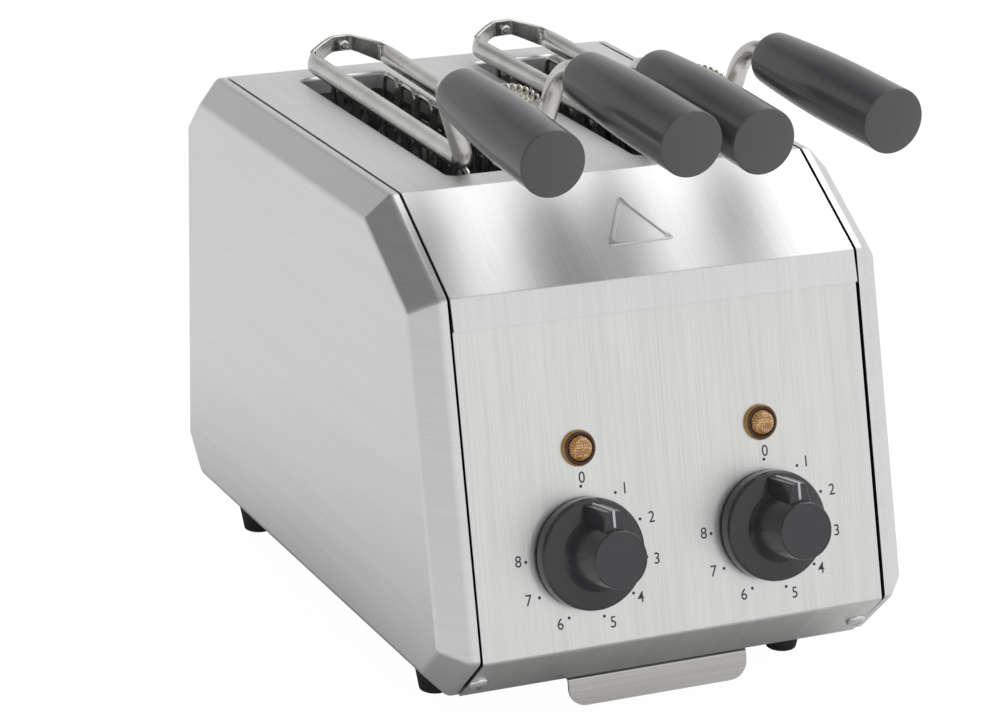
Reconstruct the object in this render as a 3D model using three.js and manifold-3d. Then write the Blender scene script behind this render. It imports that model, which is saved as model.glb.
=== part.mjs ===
// A countertop sandwich toaster: a folded steel body with two slots, and two
// sprung tongs that stand in the slots and lift out.
// Millimetres. X runs to the right as seen from the front, Y to the back, Z up.

import * as THREE from 'three';
import { mergeVertices } from 'three/addons/utils/BufferGeometryUtils.js';
import Module from 'manifold-3d';

const wasm = await Module();
wasm.setup();

// Sheet metal and fits
const sheet = 1;
const gap = 0.3;
const overrun = 5;

// Body, seen from the side
const bodyWidth = 220;
const bodyDepth = 312;
const bodyHeight = 200.6;
const rearCut = 21;
const topFrontY = 90;
const slopeFootY = 39.5;
const slopeFootZ = 169.6;
const frontFootZ = 24;
const skirtFootY = 24.3;

// Side panels
const chamferDepth = 10.7;
const chamferWidth = 10.8;
const rimWidth = 3.5;
const seamGap = 1.4;

// Top cover and its slots
const coverLip = 13.1;
const coverLipFlare = 4.7;
const rearLip = 13;
const lapLength = 6;
const slotWidth = 42;
const slotCentre = 44.25;
const slotFrontMargin = 17;
const slotRearMargin = 36.5;
const slotCorner = 3;
const slotFlange = 8;

// Front panel, lamps, timers and knobs
const panelInset = 0.3;
const panelFootDrop = 1.1;
const panelTopFlange = 8;
const panelLap = 1.2;
const dialSpacing = 86.3;
const dialHeight = 39.9;
const lampSpacing = 85.6;
const lampHeight = 83.9;
const lampRadius = 7.7;
const lampRim = 2;
const lampRimHeight = 2.4;
const lensHeight = 4.6;
const lampBodyRadius = 6.3;
const lampBodyLength = 24;
const shaftRadius = 3;
const shaftInKnob = 18;
const shaftInTimer = 12;
const timerSize = 42;
const timerDepth = 26;
const timerCorner = 4;
const bushRadius = 5;
const bushLength = 6;
const knobSkirtRadius = 23.6;
const knobSkirtEdge = 7.8;
const knobShoulder = 10.2;
const knobBossFoot = 14.5;
const knobBossTop = 12;
const knobBossChamfer = 1.2;
const knobHeight = 33;
const knobRounding = 1.2;
const knobLift = 1;
const pointerReach = 20.8;
const pointerTipWidth = 7;
const pointerFootWidth = 14;
const pointerHeight = 29;

// Front screws
const screwSideInset = 20;
const screwAlongSkirt = 19.8;
const screwHeadRadius = 4.3;
const screwHeadHeight = 2.2;
const screwShankRadius = 2;
const screwLength = 8;
const screwSlotWidth = 1.2;
const screwSlotDepth = 0.9;

// Base plate and crumb tray
const baseTurnUp = 8;
const crumbOpeningHalf = 60;
const crumbOpeningFront = 106;
const crumbOpeningRearInset = 42;
const railDrop = 8;
const railInset = 5;
const railFront = 46;
const railRearInset = 30;
const trayHalfWidth = 65;
const trayFront = 44;
const trayRearInset = 33;
const trayDepth = 5.2;
const trayTabHalf = 42.7;
const trayLipDrop = 12.5;
const trayLipForward = 2.6;
const trayLipCorner = 8;
const trayTabFront = 25.6;
const trayTabFall = 0.8;
const ventLength = 28;
const ventWidth = 4;
const ventPitch = 11;
const ventColumns = 7;
const ventRows = 2;
const ventRowPitch = 42;
const ventTopInset = 38.6;
const baseVentFirstY = 58;
const baseVentColumns = 6;
const baseVentPitch = 18;

// Feet
const footHeight = 19;
const footTopRadius = 10.4;
const footFloorRadius = 6.6;
const footRounding = 0.8;
const footFrontLeftInset = 27;
const footFrontLeftY = 74;
const footFrontRightInset = 31.5;
const footFrontRightY = 58;
const footRearSideInset = 26;
const footRearInset = 34;

// Oven chamber
const bulkheadToSlotFront = 13;
const bulkheadToSlotRear = 4.5;
const bulkheadFlange = 12;
const bulkheadFootZ = 10;
const bulkheadLegInner = 76;
const reflectorBehindElement = 10;
const reflectorHood = 8;
const reflectorTopInset = 14.6;
const elementRadius = 5;
const elementCapRadius = 7;
const elementCapLength = 9;
const elementFromSlot = 39.75;
const elementTopInset = 44.6;
const elementRowPitch = 52;
const guardHalfWidth = 28.6;
const guardWire = 1.5;
const guardTopInset = 16.6;
const guardWires = 5;
const guardPitch = 36;

// Rear panel and its fittings
const rearFlange = 7.5;
const glandX = 62;
const glandZ = 46;
const glandRadius = 10;
const glandThroat = 6.5;
const glandBore = 4;
const glandLength = 10;
const glandThread = 14;
const glandNutRadius = 11;
const glandNutThickness = 4;
const terminalWidth = 34;
const terminalHeight = 18;
const terminalDepth = 14;
const terminalZ = 30;
const terminalHole = 2.4;
const terminalWays = 3;
const rearScrewInset = 8;
const rearScrewLowZ = 34;
const rearScrewTopInset = 44.6;
const rearScrewHead = 3.4;
const rearScrewHeadHeight = 1.8;

// Tongs, measured from the rivet that joins the two arms
const pivotInset = [3.55, 2.75];
const pivotBehindSlot = 7.5;
const pivotAboveTop = 12.8;
const tongYaw = [0, 2.3];
const tongRoll = 1.8;
const tongPitch = 1;
const armRadius = 4.3;
const armSpreadRear = 18.1;
const armSpreadFront = 16.6;
const armDrop = 4.8;
const elbowBehindSlotFront = 1;
const elbowRadius = 5.5;
const riserLean = 16.7;
const riserLength = 40.5;
const riserBend = 15;
const strapThickness = 2.2;
const strapWidth = 9;
const strapRun = 9;
const strapShoulder = 6.5;
const strapFlat = 7.2;
const strapEnd = 4.2;
const strapRounding = 2.4;
const rivetRadius = 1.4;
const rivetHeadRadius = 2.3;
const rivetHeadHeight = 0.9;
const handleStart = 22;
const handleLength = 94.3;
const handleSplay = 1.25;
const handleDip = 2;
const handleRearRadius = 11.4;
const handleFrontRadius = 14;
const handleDome = 1.6;
const handleDomeShare = 0.6;
const handleTaperShare = 0.45;
const handleRounding = 1.4;
const handleBoreDepth = 18;
const cageWire = 1.2;
const cageRail = 1.5;
const cageStart = 18;
const cagePitch = 19.4;
const cageLoopWidth = 14.6;
const cageLoopCorner = 3.4;
const cageDepth = 124;
const cageSingleWire = 1;
const cageInset = 3.4;
const cageFootHalfGap = 2.2;
const springWire = 0.65;
const springCoilRadius = 2.25;
const springCurls = 12;
const springFootHeight = 18.5;
const springRise = 6.7;
const springStepsPerCurl = 8;
const springSides = 5;
const wireSides = 4;
const mergeDistance = 1e-4;

const steel = { color: 0xc4c4c2, roughness: 0.34, metalness: 1 };
const brightSteel = { color: 0xdcdcda, roughness: 0.2, metalness: 1 };
const tubeSteel = { color: 0xb9b8b3, roughness: 0.3, metalness: 1 };
const wireSteel = { color: 0x9a9a98, roughness: 0.3, metalness: 1 };
const dullSteel = { color: 0x8d8e8f, roughness: 0.5, metalness: 1 };
const blackPlastic = { color: 0x1c1d20, roughness: 0.22, metalness: 0 };
const blackRubber = { color: 0x232326, roughness: 0.75, metalness: 0 };
const amberLens = { color: 0xe0912c, roughness: 0.15, metalness: 0 };
const brownPlastic = { color: 0x4a2a16, roughness: 0.3, metalness: 0 };
const quartz = { color: 0xd9d4cc, roughness: 0.35, metalness: 0 };
const cream = { color: 0xcfc6ad, roughness: 0.6, metalness: 0 };

// A closed mesh made into a solid with its faces pointing out.
function solid(geometry) {
  const bare = geometry.clone();
  bare.deleteAttribute('normal');
  bare.deleteAttribute('uv');
  const merged = mergeVertices(bare, mergeDistance);
  const corners = merged.attributes.position.array;
  const index = merged.index.array;
  const kept = [];
  let volume = 0;
  const a = new THREE.Vector3();
  const b = new THREE.Vector3();
  const c = new THREE.Vector3();
  for (let i = 0; i < index.length; i += 3) {
    const [p, q, r] = [index[i], index[i + 1], index[i + 2]];
    if (p === q || q === r || r === p) continue;
    kept.push([p, q, r]);
    a.fromArray(corners, p * 3);
    b.fromArray(corners, q * 3);
    c.fromArray(corners, r * 3);
    volume += a.dot(b.cross(c));
  }
  const order = volume < 0 ? kept.map(([p, q, r]) => [p, r, q]) : kept;
  return new wasm.Manifold(new wasm.Mesh({
    numProp: 3,
    vertProperties: new Float32Array(corners),
    triVerts: new Uint32Array(order.flat()),
  }));
}

function geometryOf(body) {
  const mesh = body.getMesh();
  const geometry = new THREE.BufferGeometry();
  const corners = new Float32Array(mesh.vertProperties);
  geometry.setAttribute('position', new THREE.BufferAttribute(corners, 3));
  geometry.setIndex(Array.from(mesh.triVerts));
  geometry.computeVertexNormals();
  return geometry;
}

function piece(name, body, look) {
  const mesh = new THREE.Mesh(geometryOf(body), new THREE.MeshStandardMaterial(look));
  mesh.name = name;
  return mesh;
}

function joined(parts) {
  return parts.reduce((whole, part) => whole.add(part));
}

function cut(body, tools) {
  return tools.reduce((whole, tool) => whole.subtract(tool), body);
}

function shapeOf(points) {
  return new THREE.Shape(points.map(([u, v]) => new THREE.Vector2(u, v)));
}

// Outlines drawn in the Y Z plane and drawn out along X.
const alongX = new THREE.Matrix4().makeBasis(
  new THREE.Vector3(0, 1, 0),
  new THREE.Vector3(0, 0, 1),
  new THREE.Vector3(1, 0, 0),
);

function prismX(points, from, to) {
  const geometry = new THREE.ExtrudeGeometry(shapeOf(points), { depth: to - from, bevelEnabled: false });
  geometry.applyMatrix4(alongX).translate(from, 0, 0);
  return solid(geometry);
}

// Outlines drawn in the X Z plane and drawn out along Y.
function prismY(points, from, to) {
  const geometry = new THREE.ExtrudeGeometry(shapeOf(points), { depth: to - from, bevelEnabled: false });
  geometry.rotateX(Math.PI / 2).translate(0, to, 0);
  return solid(geometry);
}

function box(x0, x1, y0, y1, z0, z1) {
  const geometry = new THREE.BoxGeometry(x1 - x0, y1 - y0, z1 - z0);
  geometry.translate((x0 + x1) / 2, (y0 + y1) / 2, (z0 + z1) / 2);
  return solid(geometry);
}

// A rectangle in the X Y plane with rounded corners, drawn out along Z.
function roundedBox(x0, x1, y0, y1, z0, z1, radius) {
  const outline = new THREE.Shape();
  outline.moveTo(x0 + radius, y0);
  outline.lineTo(x1 - radius, y0);
  outline.quadraticCurveTo(x1, y0, x1, y0 + radius);
  outline.lineTo(x1, y1 - radius);
  outline.quadraticCurveTo(x1, y1, x1 - radius, y1);
  outline.lineTo(x0 + radius, y1);
  outline.quadraticCurveTo(x0, y1, x0, y1 - radius);
  outline.lineTo(x0, y0 + radius);
  outline.quadraticCurveTo(x0, y0, x0 + radius, y0);
  const run = { depth: z1 - z0, bevelEnabled: false, curveSegments: 3 };
  const geometry = new THREE.ExtrudeGeometry(outline, run);
  geometry.translate(0, 0, z0);
  return solid(geometry);
}

// A profile of radius and height turned about an axis from start towards end.
function turned(profile, start, direction, sides) {
  const points = profile.map(([radius, height]) => new THREE.Vector2(radius, height));
  const geometry = new THREE.LatheGeometry(points, sides);
  const up = new THREE.Vector3(0, 1, 0);
  const turn = new THREE.Quaternion().setFromUnitVectors(up, direction.clone().normalize());
  geometry.applyQuaternion(turn).translate(start.x, start.y, start.z);
  return solid(geometry);
}

function rod(radius, start, end, sides) {
  const length = start.distanceTo(end);
  const profile = [[0, 0], [radius, 0], [radius, length], [0, length]];
  return turned(profile, start, end.clone().sub(start), sides);
}

function point(x, y, z) {
  return new THREE.Vector3(x, y, z);
}

// Each edge moved to its left by a distance, meeting its neighbours in mitres.
function shifted(points, distance, closed) {
  const count = points.length;
  const edges = [];
  for (let i = 0; i < (closed ? count : count - 1); i += 1) {
    const [u0, v0] = points[i];
    const [u1, v1] = points[(i + 1) % count];
    const length = Math.hypot(u1 - u0, v1 - v0);
    const left = [-(v1 - v0) / length, (u1 - u0) / length];
    edges.push({ left, level: left[0] * u0 + left[1] * v0 + distance });
  }
  return points.map(([u, v], i) => {
    const before = closed ? edges[(i + count - 1) % count] : edges[i - 1];
    const after = edges[i];
    if (!before || !after) {
      const only = before || after;
      return [u + only.left[0] * distance, v + only.left[1] * distance];
    }
    const spread = before.left[0] * after.left[1] - before.left[1] * after.left[0];
    return [
      (before.level * after.left[1] - after.level * before.left[1]) / spread,
      (after.level * before.left[0] - before.level * after.left[0]) / spread,
    ];
  });
}

// The closed outline of a sheet folded along a line, its thickness to the left.
function folded(line, thickness) {
  return [...line, ...shifted(line, thickness, false).reverse()];
}

// A polyline with each inner corner rounded off.
function rounded(points, radii, steps) {
  const path = [points[0]];
  for (let i = 1; i < points.length - 1; i += 1) {
    const corner = points[i];
    const back = points[i - 1].clone().sub(corner).setLength(radii[i - 1]);
    const on = points[i + 1].clone().sub(corner).setLength(radii[i - 1]);
    const curve = new THREE.QuadraticBezierCurve3(corner.clone().add(back), corner, corner.clone().add(on));
    path.push(...curve.getPoints(steps));
  }
  path.push(points[points.length - 1]);
  return path;
}

// A round wire along a line of points, one unbroken closed tube. Each ring lies
// in the mitre plane of its corner, so the section keeps its size all the way.
function wire(points, radius, sides) {
  const corners = [];
  const faces = [];
  const first = points[1].clone().sub(points[0]).normalize();
  const seed = Math.abs(first.z) < 0.9 ? point(0, 0, 1) : point(1, 0, 0);
  const across = seed.clone().cross(first).normalize();
  const upward = first.clone().cross(across);
  let ring = [];
  for (let k = 0; k < sides; k += 1) {
    const angle = (k + 0.5) / sides * Math.PI * 2;
    const spoke = across.clone().multiplyScalar(Math.cos(angle) * radius);
    spoke.addScaledVector(upward, Math.sin(angle) * radius);
    ring.push(points[0].clone().add(spoke));
  }
  corners.push(...ring);
  for (let i = 1; i < points.length; i += 1) {
    const along = points[i].clone().sub(points[i - 1]).normalize();
    const next = i < points.length - 1 ? points[i + 1].clone().sub(points[i]).normalize() : along;
    const plane = along.clone().add(next).normalize();
    ring = ring.map((spot) => {
      const travel = points[i].clone().sub(spot).dot(plane) / along.dot(plane);
      return spot.clone().addScaledVector(along, travel);
    });
    corners.push(...ring);
    const near = (i - 1) * sides;
    for (let k = 0; k < sides; k += 1) {
      const other = (k + 1) % sides;
      faces.push(near + k, near + other, near + sides + other);
      faces.push(near + k, near + sides + other, near + sides + k);
    }
  }
  const last = (points.length - 1) * sides;
  for (let k = 1; k < sides - 1; k += 1) {
    faces.push(0, k + 1, k);
    faces.push(last, last + k, last + k + 1);
  }
  const geometry = new THREE.BufferGeometry();
  const flat = new Float32Array(corners.flatMap((spot) => spot.toArray()));
  geometry.setAttribute('position', new THREE.BufferAttribute(flat, 3));
  geometry.setIndex(faces);
  return geometry;
}

// Side view of the body, counter-clockwise as Y and Z are drawn.
const sideView = [
  [skirtFootY, 0],
  [bodyDepth - rearCut, 0],
  [bodyDepth, rearCut],
  [bodyDepth, bodyHeight - rearCut],
  [bodyDepth - rearCut, bodyHeight],
  [topFrontY, bodyHeight],
  [slopeFootY, slopeFootZ],
  [0, frontFootZ],
];
const [skirtFoot, , rearLow, rearHigh, topRear, topFront, slopeFoot, frontFoot] = sideView;
const lining = sheet + gap;
const inner = shifted(sideView, lining, true);
const halfWidth = bodyWidth / 2;
const rimX = halfWidth - chamferDepth - rimWidth;
const centreHalf = rimX - seamGap;

// What follows the body's length and height: the slots, the oven chamber
// between its two bulkheads, and the rivets of the tongs behind the slots.
const slotFrontY = topFrontY + slotFrontMargin;
const slotRearY = bodyDepth - slotRearMargin;
const frontBulkheadY = slotFrontY - bulkheadToSlotFront;
const rearBulkheadY = slotRearY + bulkheadToSlotRear;
const pivotY = slotRearY + pivotBehindSlot;
const pivotZ = bodyHeight + pivotAboveTop;
const armReach = pivotY - slotFrontY - elbowBehindSlotFront;

// Places of a row of equal steps, centred on a middle.
function row(count, pitch, middle) {
  return Array.from({ length: count }, (_, i) => middle + i * pitch - (count * pitch - pitch) / 2);
}

// A point on the way from one corner of an outline to the next.
function towards([u0, v0], [u1, v1], distance) {
  const length = Math.hypot(u1 - u0, v1 - v0);
  return [u0 + (u1 - u0) * distance / length, v0 + (v1 - v0) * distance / length];
}

// Side panels: pans with a flat face, a chamfer all round and a narrow rim.
function chamferedBody(outline, half, depth, width) {
  const geometry = new THREE.ExtrudeGeometry(shapeOf(outline), {
    depth: (half - depth) * 2,
    bevelEnabled: true,
    bevelThickness: depth,
    bevelSize: width,
    bevelOffset: -width,
    bevelSegments: 1,
  });
  geometry.applyMatrix4(alongX).translate(depth - half, 0, 0);
  return solid(geometry);
}

function sidePanels() {
  const saving = sheet * (2 - Math.SQRT2);
  const outside = chamferedBody(sideView, halfWidth, chamferDepth, chamferWidth);
  const inside = chamferedBody(
    shifted(sideView, sheet, true),
    halfWidth - sheet,
    chamferDepth - saving,
    chamferWidth - saving,
  );
  const shell = outside.subtract(inside);
  const reach = bodyDepth + overrun;
  const leftHalf = box(-halfWidth - overrun, -rimX, -overrun, reach, -overrun, reach);
  const rightHalf = box(rimX, halfWidth + overrun, -overrun, reach, -overrun, reach);
  return [
    piece('left_side_panel', shell.intersect(leftHalf), steel),
    piece('right_side_panel', shell.intersect(rightHalf), steel),
  ];
}

// Top cover: one sheet folded over the slope to a lip, with two flanged slots.
function topCover() {
  const line = [
    towards(rearHigh, rearLow, rearLip),
    rearHigh,
    topRear,
    topFront,
    slopeFoot,
    [slopeFoot[0] - coverLipFlare, slopeFoot[1] - coverLip],
  ];
  const skin = prismX(folded(line, sheet), -centreHalf, centreHalf);
  const collars = [];
  const mouths = [];
  for (const side of [-1, 1]) {
    const x0 = side * slotCentre - slotWidth / 2;
    const x1 = side * slotCentre + slotWidth / 2;
    const low = bodyHeight - slotFlange;
    collars.push(roundedBox(
      x0 - sheet,
      x1 + sheet,
      slotFrontY - sheet,
      slotRearY + sheet,
      low,
      bodyHeight - sheet / 2,
      slotCorner + sheet,
    ));
    mouths.push(roundedBox(x0, x1, slotFrontY, slotRearY, low - overrun, bodyHeight + overrun, slotCorner));
  }
  return piece('top_cover', cut(joined([skin, ...collars]), mouths), steel);
}

// Front panel: a sheet that leans back with the side panels' front edges. Its
// top is folded back behind the cover's lip, its skirt slopes back under it.
const panelLean = Math.atan2(slopeFootY, slopeFootZ - frontFootZ);
const panelBend = [panelInset, frontFootZ - panelFootDrop];
const panelTopZ = slopeFootZ - coverLip + panelLap;
const panelTop = [panelBend[0] + (panelTopZ - panelBend[1]) * Math.tan(panelLean), panelTopZ];
const panelFoot = [panelBend[0] + panelBend[1], 0];
const frontLine = [[panelTop[0] + panelTopFlange, panelTopZ], panelTop, panelBend, panelFoot];
const panelOrigin = point(0, ...panelBend);
const panelUp = point(0, Math.sin(panelLean), Math.cos(panelLean));
const panelNormal = point(0, -panelUp.z, panelUp.y);
const skirtDirection = point(0, panelFoot[0] - panelBend[0], -panelBend[1]).normalize();
const skirtNormal = point(0, skirtDirection.z, -skirtDirection.y);
const dialSides = [-1, 1];

// A place on the front panel: to the right, up the panel and out from it.
function onPanel(x, up, out) {
  const place = point(x, 0, 0).add(panelOrigin).addScaledVector(panelUp, up);
  return place.addScaledVector(panelNormal, out);
}

function onSkirt(x, along, out) {
  const place = point(x, 0, 0).add(panelOrigin).addScaledVector(skirtDirection, along);
  return place.addScaledVector(skirtNormal, out);
}

function frontPanel() {
  const skin = prismX(folded(frontLine, sheet), -centreHalf, centreHalf);
  const holes = [];
  for (const side of dialSides) {
    const x = side * dialSpacing / 2;
    const lampX = side * lampSpacing / 2;
    holes.push(rod(
      lampBodyRadius + gap,
      onPanel(lampX, lampHeight, -overrun),
      onPanel(lampX, lampHeight, overrun),
      24,
    ));
    holes.push(rod(
      bushRadius + gap,
      onPanel(x, dialHeight, -overrun),
      onPanel(x, dialHeight, overrun),
      16,
    ));
    const screw = [side * (halfWidth - screwSideInset), screwAlongSkirt];
    holes.push(rod(screwShankRadius + gap, onSkirt(...screw, -overrun), onSkirt(...screw, overrun), 16));
  }
  return piece('front_panel', cut(skin, holes), steel);
}

// A panel-mounted fitting is drawn with its foot on the panel and +Y outwards,
// then set at its place on the panel.
function mounted(name, profile, sides, look, x, up, out) {
  return piece(name, turned(profile, onPanel(x, up, out), panelNormal, sides), look);
}

function lamp(side, word) {
  const x = side * lampSpacing / 2;
  const seat = lampRadius - lampRim;
  const rim = [
    [0, gap - lampBodyLength],
    [lampBodyRadius, gap - lampBodyLength],
    [lampBodyRadius, gap],
    [lampRadius, gap],
    [lampRadius, lampRimHeight],
    [seat, lampRimHeight + lampRim / 4],
    [seat, lampRimHeight / 2],
    [0, lampRimHeight / 2],
  ];
  const seatLevel = lampRimHeight / 2 + gap;
  const lensRadius = seat - gap;
  const lens = [
    [0, seatLevel],
    [lensRadius, seatLevel],
    [lensRadius, lampRimHeight],
    [lensRadius * Math.cos(Math.PI / 8), (lampRimHeight + lensHeight) / 2],
    [lensRadius * Math.cos(Math.PI / 4), lensHeight * 0.95],
    [0, lensHeight],
  ];
  return [
    mounted(`${word}_lamp_body`, rim, 24, brownPlastic, x, lampHeight, 0),
    mounted(`${word}_lamp_lens`, lens, 24, amberLens, x, lampHeight, 0),
  ];
}

// Knob: a skirt, a tapered boss and a pointer that stands on the skirt.
function knob(side, word) {
  const x = side * dialSpacing / 2;
  const place = onPanel(x, dialHeight, 0);
  const profile = [
    [0, knobLift],
    [knobSkirtRadius - knobRounding, knobLift],
    [knobSkirtRadius, knobLift + knobRounding],
    [knobSkirtRadius, knobSkirtEdge - knobRounding],
    [knobSkirtRadius - knobRounding, knobSkirtEdge],
    [knobBossFoot + knobRounding, knobShoulder],
    [knobBossFoot - knobRounding, knobShoulder + knobRounding * 2],
    [knobBossTop, knobHeight - knobBossChamfer],
    [knobBossTop - knobBossChamfer, knobHeight],
    [0, knobHeight],
  ];
  const round = turned(profile, place, panelNormal, 28);
  const tip = pointerTipWidth / 2;
  const foot = pointerFootWidth / 2;
  const fin = new THREE.ExtrudeGeometry(
    shapeOf([[-foot, 0], [foot, 0], [tip, pointerReach], [-tip, pointerReach]]),
    { depth: pointerHeight - knobSkirtEdge, bevelEnabled: false },
  );
  fin.translate(0, 0, knobSkirtEdge - knobRounding);
  fin.rotateX(Math.PI / 2 - panelLean).translate(place.x, place.y, place.z);
  const bore = rod(shaftRadius + gap, place, onPanel(x, dialHeight, shaftInKnob + gap), 12);
  return piece(`${word}_knob`, round.add(solid(fin)).subtract(bore), blackPlastic);
}

function timer(side, word) {
  const x = side * dialSpacing / 2;
  const half = timerSize / 2;
  const back = sheet + gap;
  const body = new THREE.ExtrudeGeometry(
    shapeOf([
      [timerCorner - half, -half],
      [half - timerCorner, -half],
      [half, timerCorner - half],
      [half, half - timerCorner],
      [half - timerCorner, half],
      [timerCorner - half, half],
      [-half, half - timerCorner],
      [-half, timerCorner - half],
    ]),
    { depth: timerDepth, bevelEnabled: false },
  );
  const place = onPanel(x, dialHeight, -back - timerDepth);
  body.rotateX(Math.PI / 2 - panelLean).translate(place.x, place.y, place.z);
  const bush = rod(bushRadius, onPanel(x, dialHeight, -back - bushLength), onPanel(x, dialHeight, 0), 16);
  const bore = rod(
    shaftRadius + gap,
    onPanel(x, dialHeight, -back - shaftInTimer - gap),
    onPanel(x, dialHeight, overrun),
    12,
  );
  const shaft = rod(
    shaftRadius,
    onPanel(x, dialHeight, -back - shaftInTimer),
    onPanel(x, dialHeight, shaftInKnob),
    12,
  );
  return [
    piece(`${word}_timer`, solid(body).add(bush).subtract(bore), cream),
    piece(`${word}_timer_shaft`, shaft, brightSteel),
  ];
}

// A pan-head screw with a straight slot, its head standing out along a direction.
function screw(name, seat, outward, slotAxis, headRadius, headHeight, sides) {
  const profile = [
    [0, -screwLength],
    [screwShankRadius, -screwLength],
    [screwShankRadius, gap],
    [headRadius, gap],
    [headRadius, headHeight * 0.45],
    [headRadius * 0.75, headHeight * 0.85],
    [headRadius * 0.4, headHeight],
    [0, headHeight],
  ];
  const body = turned(profile, seat, outward, sides);
  const along = slotAxis.clone().setLength(headRadius * 2);
  const bottom = seat.clone().addScaledVector(outward, headHeight - screwSlotDepth);
  const slot = new THREE.BoxGeometry(along.length(), overrun, screwSlotWidth);
  const frame = new THREE.Matrix4().makeBasis(
    along.clone().normalize(),
    outward,
    along.clone().normalize().cross(outward),
  );
  slot.translate(0, overrun / 2, 0).applyMatrix4(frame).translate(bottom.x, bottom.y, bottom.z);
  return piece(name, body.subtract(solid(slot)), brightSteel);
}

// Base plate: a crumb opening, cooling slots and two rails for the tray. Its
// front edge is turned up behind the front panel's skirt.
const baseRear = bodyDepth - rearCut - gap;
const baseFront = panelFoot[0] + lining * Math.SQRT2;

function basePlate() {
  const half = rimX - gap;
  const railRear = bodyDepth - railRearInset;
  const turnUp = baseTurnUp * Math.SQRT1_2;
  const line = [[baseFront - turnUp, turnUp], [baseFront, 0], [baseRear, 0]];
  const plate = prismX(folded(line, sheet), -half, half);
  const rails = [];
  for (const side of [-1, 1]) {
    const web = side * (trayHalfWidth + gap);
    const outer = web + side * sheet;
    const toe = web - side * railInset;
    const [x0, x1] = side < 0 ? [outer, web] : [web, outer];
    const [t0, t1] = side < 0 ? [outer, toe] : [toe, outer];
    rails.push(box(x0, x1, railFront, railRear, -railDrop, sheet / 2));
    rails.push(box(t0, t1, railFront, railRear, -railDrop, sheet - railDrop));
  }
  const tools = [box(
    -crumbOpeningHalf,
    crumbOpeningHalf,
    crumbOpeningFront,
    bodyDepth - crumbOpeningRearInset,
    -overrun,
    overrun,
  )];
  for (const x of row(baseVentColumns, baseVentPitch, 0)) {
    tools.push(box(
      x - ventWidth / 2,
      x + ventWidth / 2,
      baseVentFirstY,
      baseVentFirstY + ventLength,
      -overrun,
      overrun,
    ));
  }
  return piece('base_plate', cut(joined([plate, ...rails]), tools), dullSteel);
}

// Crumb tray: a shallow pan whose front wall folds out to a hanging lip.
function crumbTray() {
  const floor = sheet - railDrop + gap;
  const top = floor + trayDepth;
  const trayRear = bodyDepth - trayRearInset;
  const outside = box(-trayHalfWidth, trayHalfWidth, trayFront, trayRear, floor, top);
  const inside = box(
    sheet - trayHalfWidth,
    trayHalfWidth - sheet,
    trayFront + sheet,
    trayRear - sheet,
    floor + sheet,
    top + overrun,
  );
  const tab = folded([
    [trayFront + sheet / 2, top],
    [trayTabFront, top],
    [trayTabFront - trayLipForward, top - trayLipDrop],
  ], sheet);
  const lipRun = trayTabHalf - trayLipCorner;
  const low = top - trayLipDrop;
  const trim = [];
  for (const side of [-1, 1]) {
    const corner = new THREE.Shape();
    corner.moveTo(side * trayTabHalf, low - overrun);
    corner.lineTo(side * (trayTabHalf + overrun), low - overrun);
    corner.lineTo(side * (trayTabHalf + overrun), low + trayLipCorner);
    corner.lineTo(side * trayTabHalf, low + trayLipCorner);
    corner.quadraticCurveTo(side * trayTabHalf, low, side * lipRun, low);
    corner.lineTo(side * lipRun, low - overrun);
    const depth = trayTabFront + overrun;
    const geometry = new THREE.ExtrudeGeometry(corner, { depth, bevelEnabled: false, curveSegments: 6 });
    geometry.rotateX(Math.PI / 2).translate(0, trayTabFront + overrun / 2, 0);
    trim.push(solid(geometry));
  }
  const handle = cut(prismX(tab, -trayTabHalf, trayTabHalf), trim);
  return piece('crumb_tray', outside.subtract(inside).add(handle), steel);
}

function foot(name, x, y) {
  const profile = [
    [0, -footHeight],
    [footFloorRadius - footRounding, -footHeight],
    [footFloorRadius, footRounding - footHeight],
    [footTopRadius, -gap],
    [0, -gap],
  ];
  return piece(name, turned(profile, point(x, y, 0), point(0, 0, 1), 20), blackRubber);
}

// Bulkheads: upright plates that close the oven chamber front and back. Each
// has a flange along both side panels and bores for the heating elements.
const elementBankX = slotCentre + elementFromSlot;
const elementHighZ = bodyHeight - elementTopInset;
const elementLowZ = elementHighZ - elementRowPitch;
const elementPlaces = [
  ['left_low', -elementBankX, elementLowZ],
  ['left_high', -elementBankX, elementHighZ],
  ['centre_low', 0, elementLowZ],
  ['centre_high', 0, elementHighZ],
  ['right_low', elementBankX, elementLowZ],
  ['right_high', elementBankX, elementHighZ],
];

function bulkhead(name, y, flangeSide) {
  const wide = halfWidth - sheet - gap;
  const neck = rimX - gap;
  const top = bodyHeight - sheet - gap;
  const shoulder = top - chamferWidth - gap;
  const foot = chamferWidth + lining;
  const outline = [
    [-neck, top],
    [-wide, shoulder],
    [-wide, foot],
    [-neck, sheet + gap],
    [-bulkheadLegInner, sheet + gap],
    [-bulkheadLegInner, bulkheadFootZ],
    [bulkheadLegInner, bulkheadFootZ],
    [bulkheadLegInner, sheet + gap],
    [neck, sheet + gap],
    [wide, foot],
    [wide, shoulder],
    [neck, top],
  ];
  const parts = [prismY(outline, y, y + sheet)];
  const [y0, y1] = flangeSide < 0 ? [y + sheet - bulkheadFlange, y + sheet] : [y, y + bulkheadFlange];
  const z0 = foot + bulkheadFlange;
  const z1 = shoulder - bulkheadFlange;
  parts.push(box(-wide, sheet - wide, y0, y1, z0, z1), box(wide - sheet, wide, y0, y1, z0, z1));
  const bores = elementPlaces.map(([, x, z]) => rod(
    elementRadius + gap,
    point(x, y - overrun, z),
    point(x, y + overrun, z),
    12,
  ));
  return piece(name, cut(joined(parts), bores), dullSteel);
}

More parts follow.
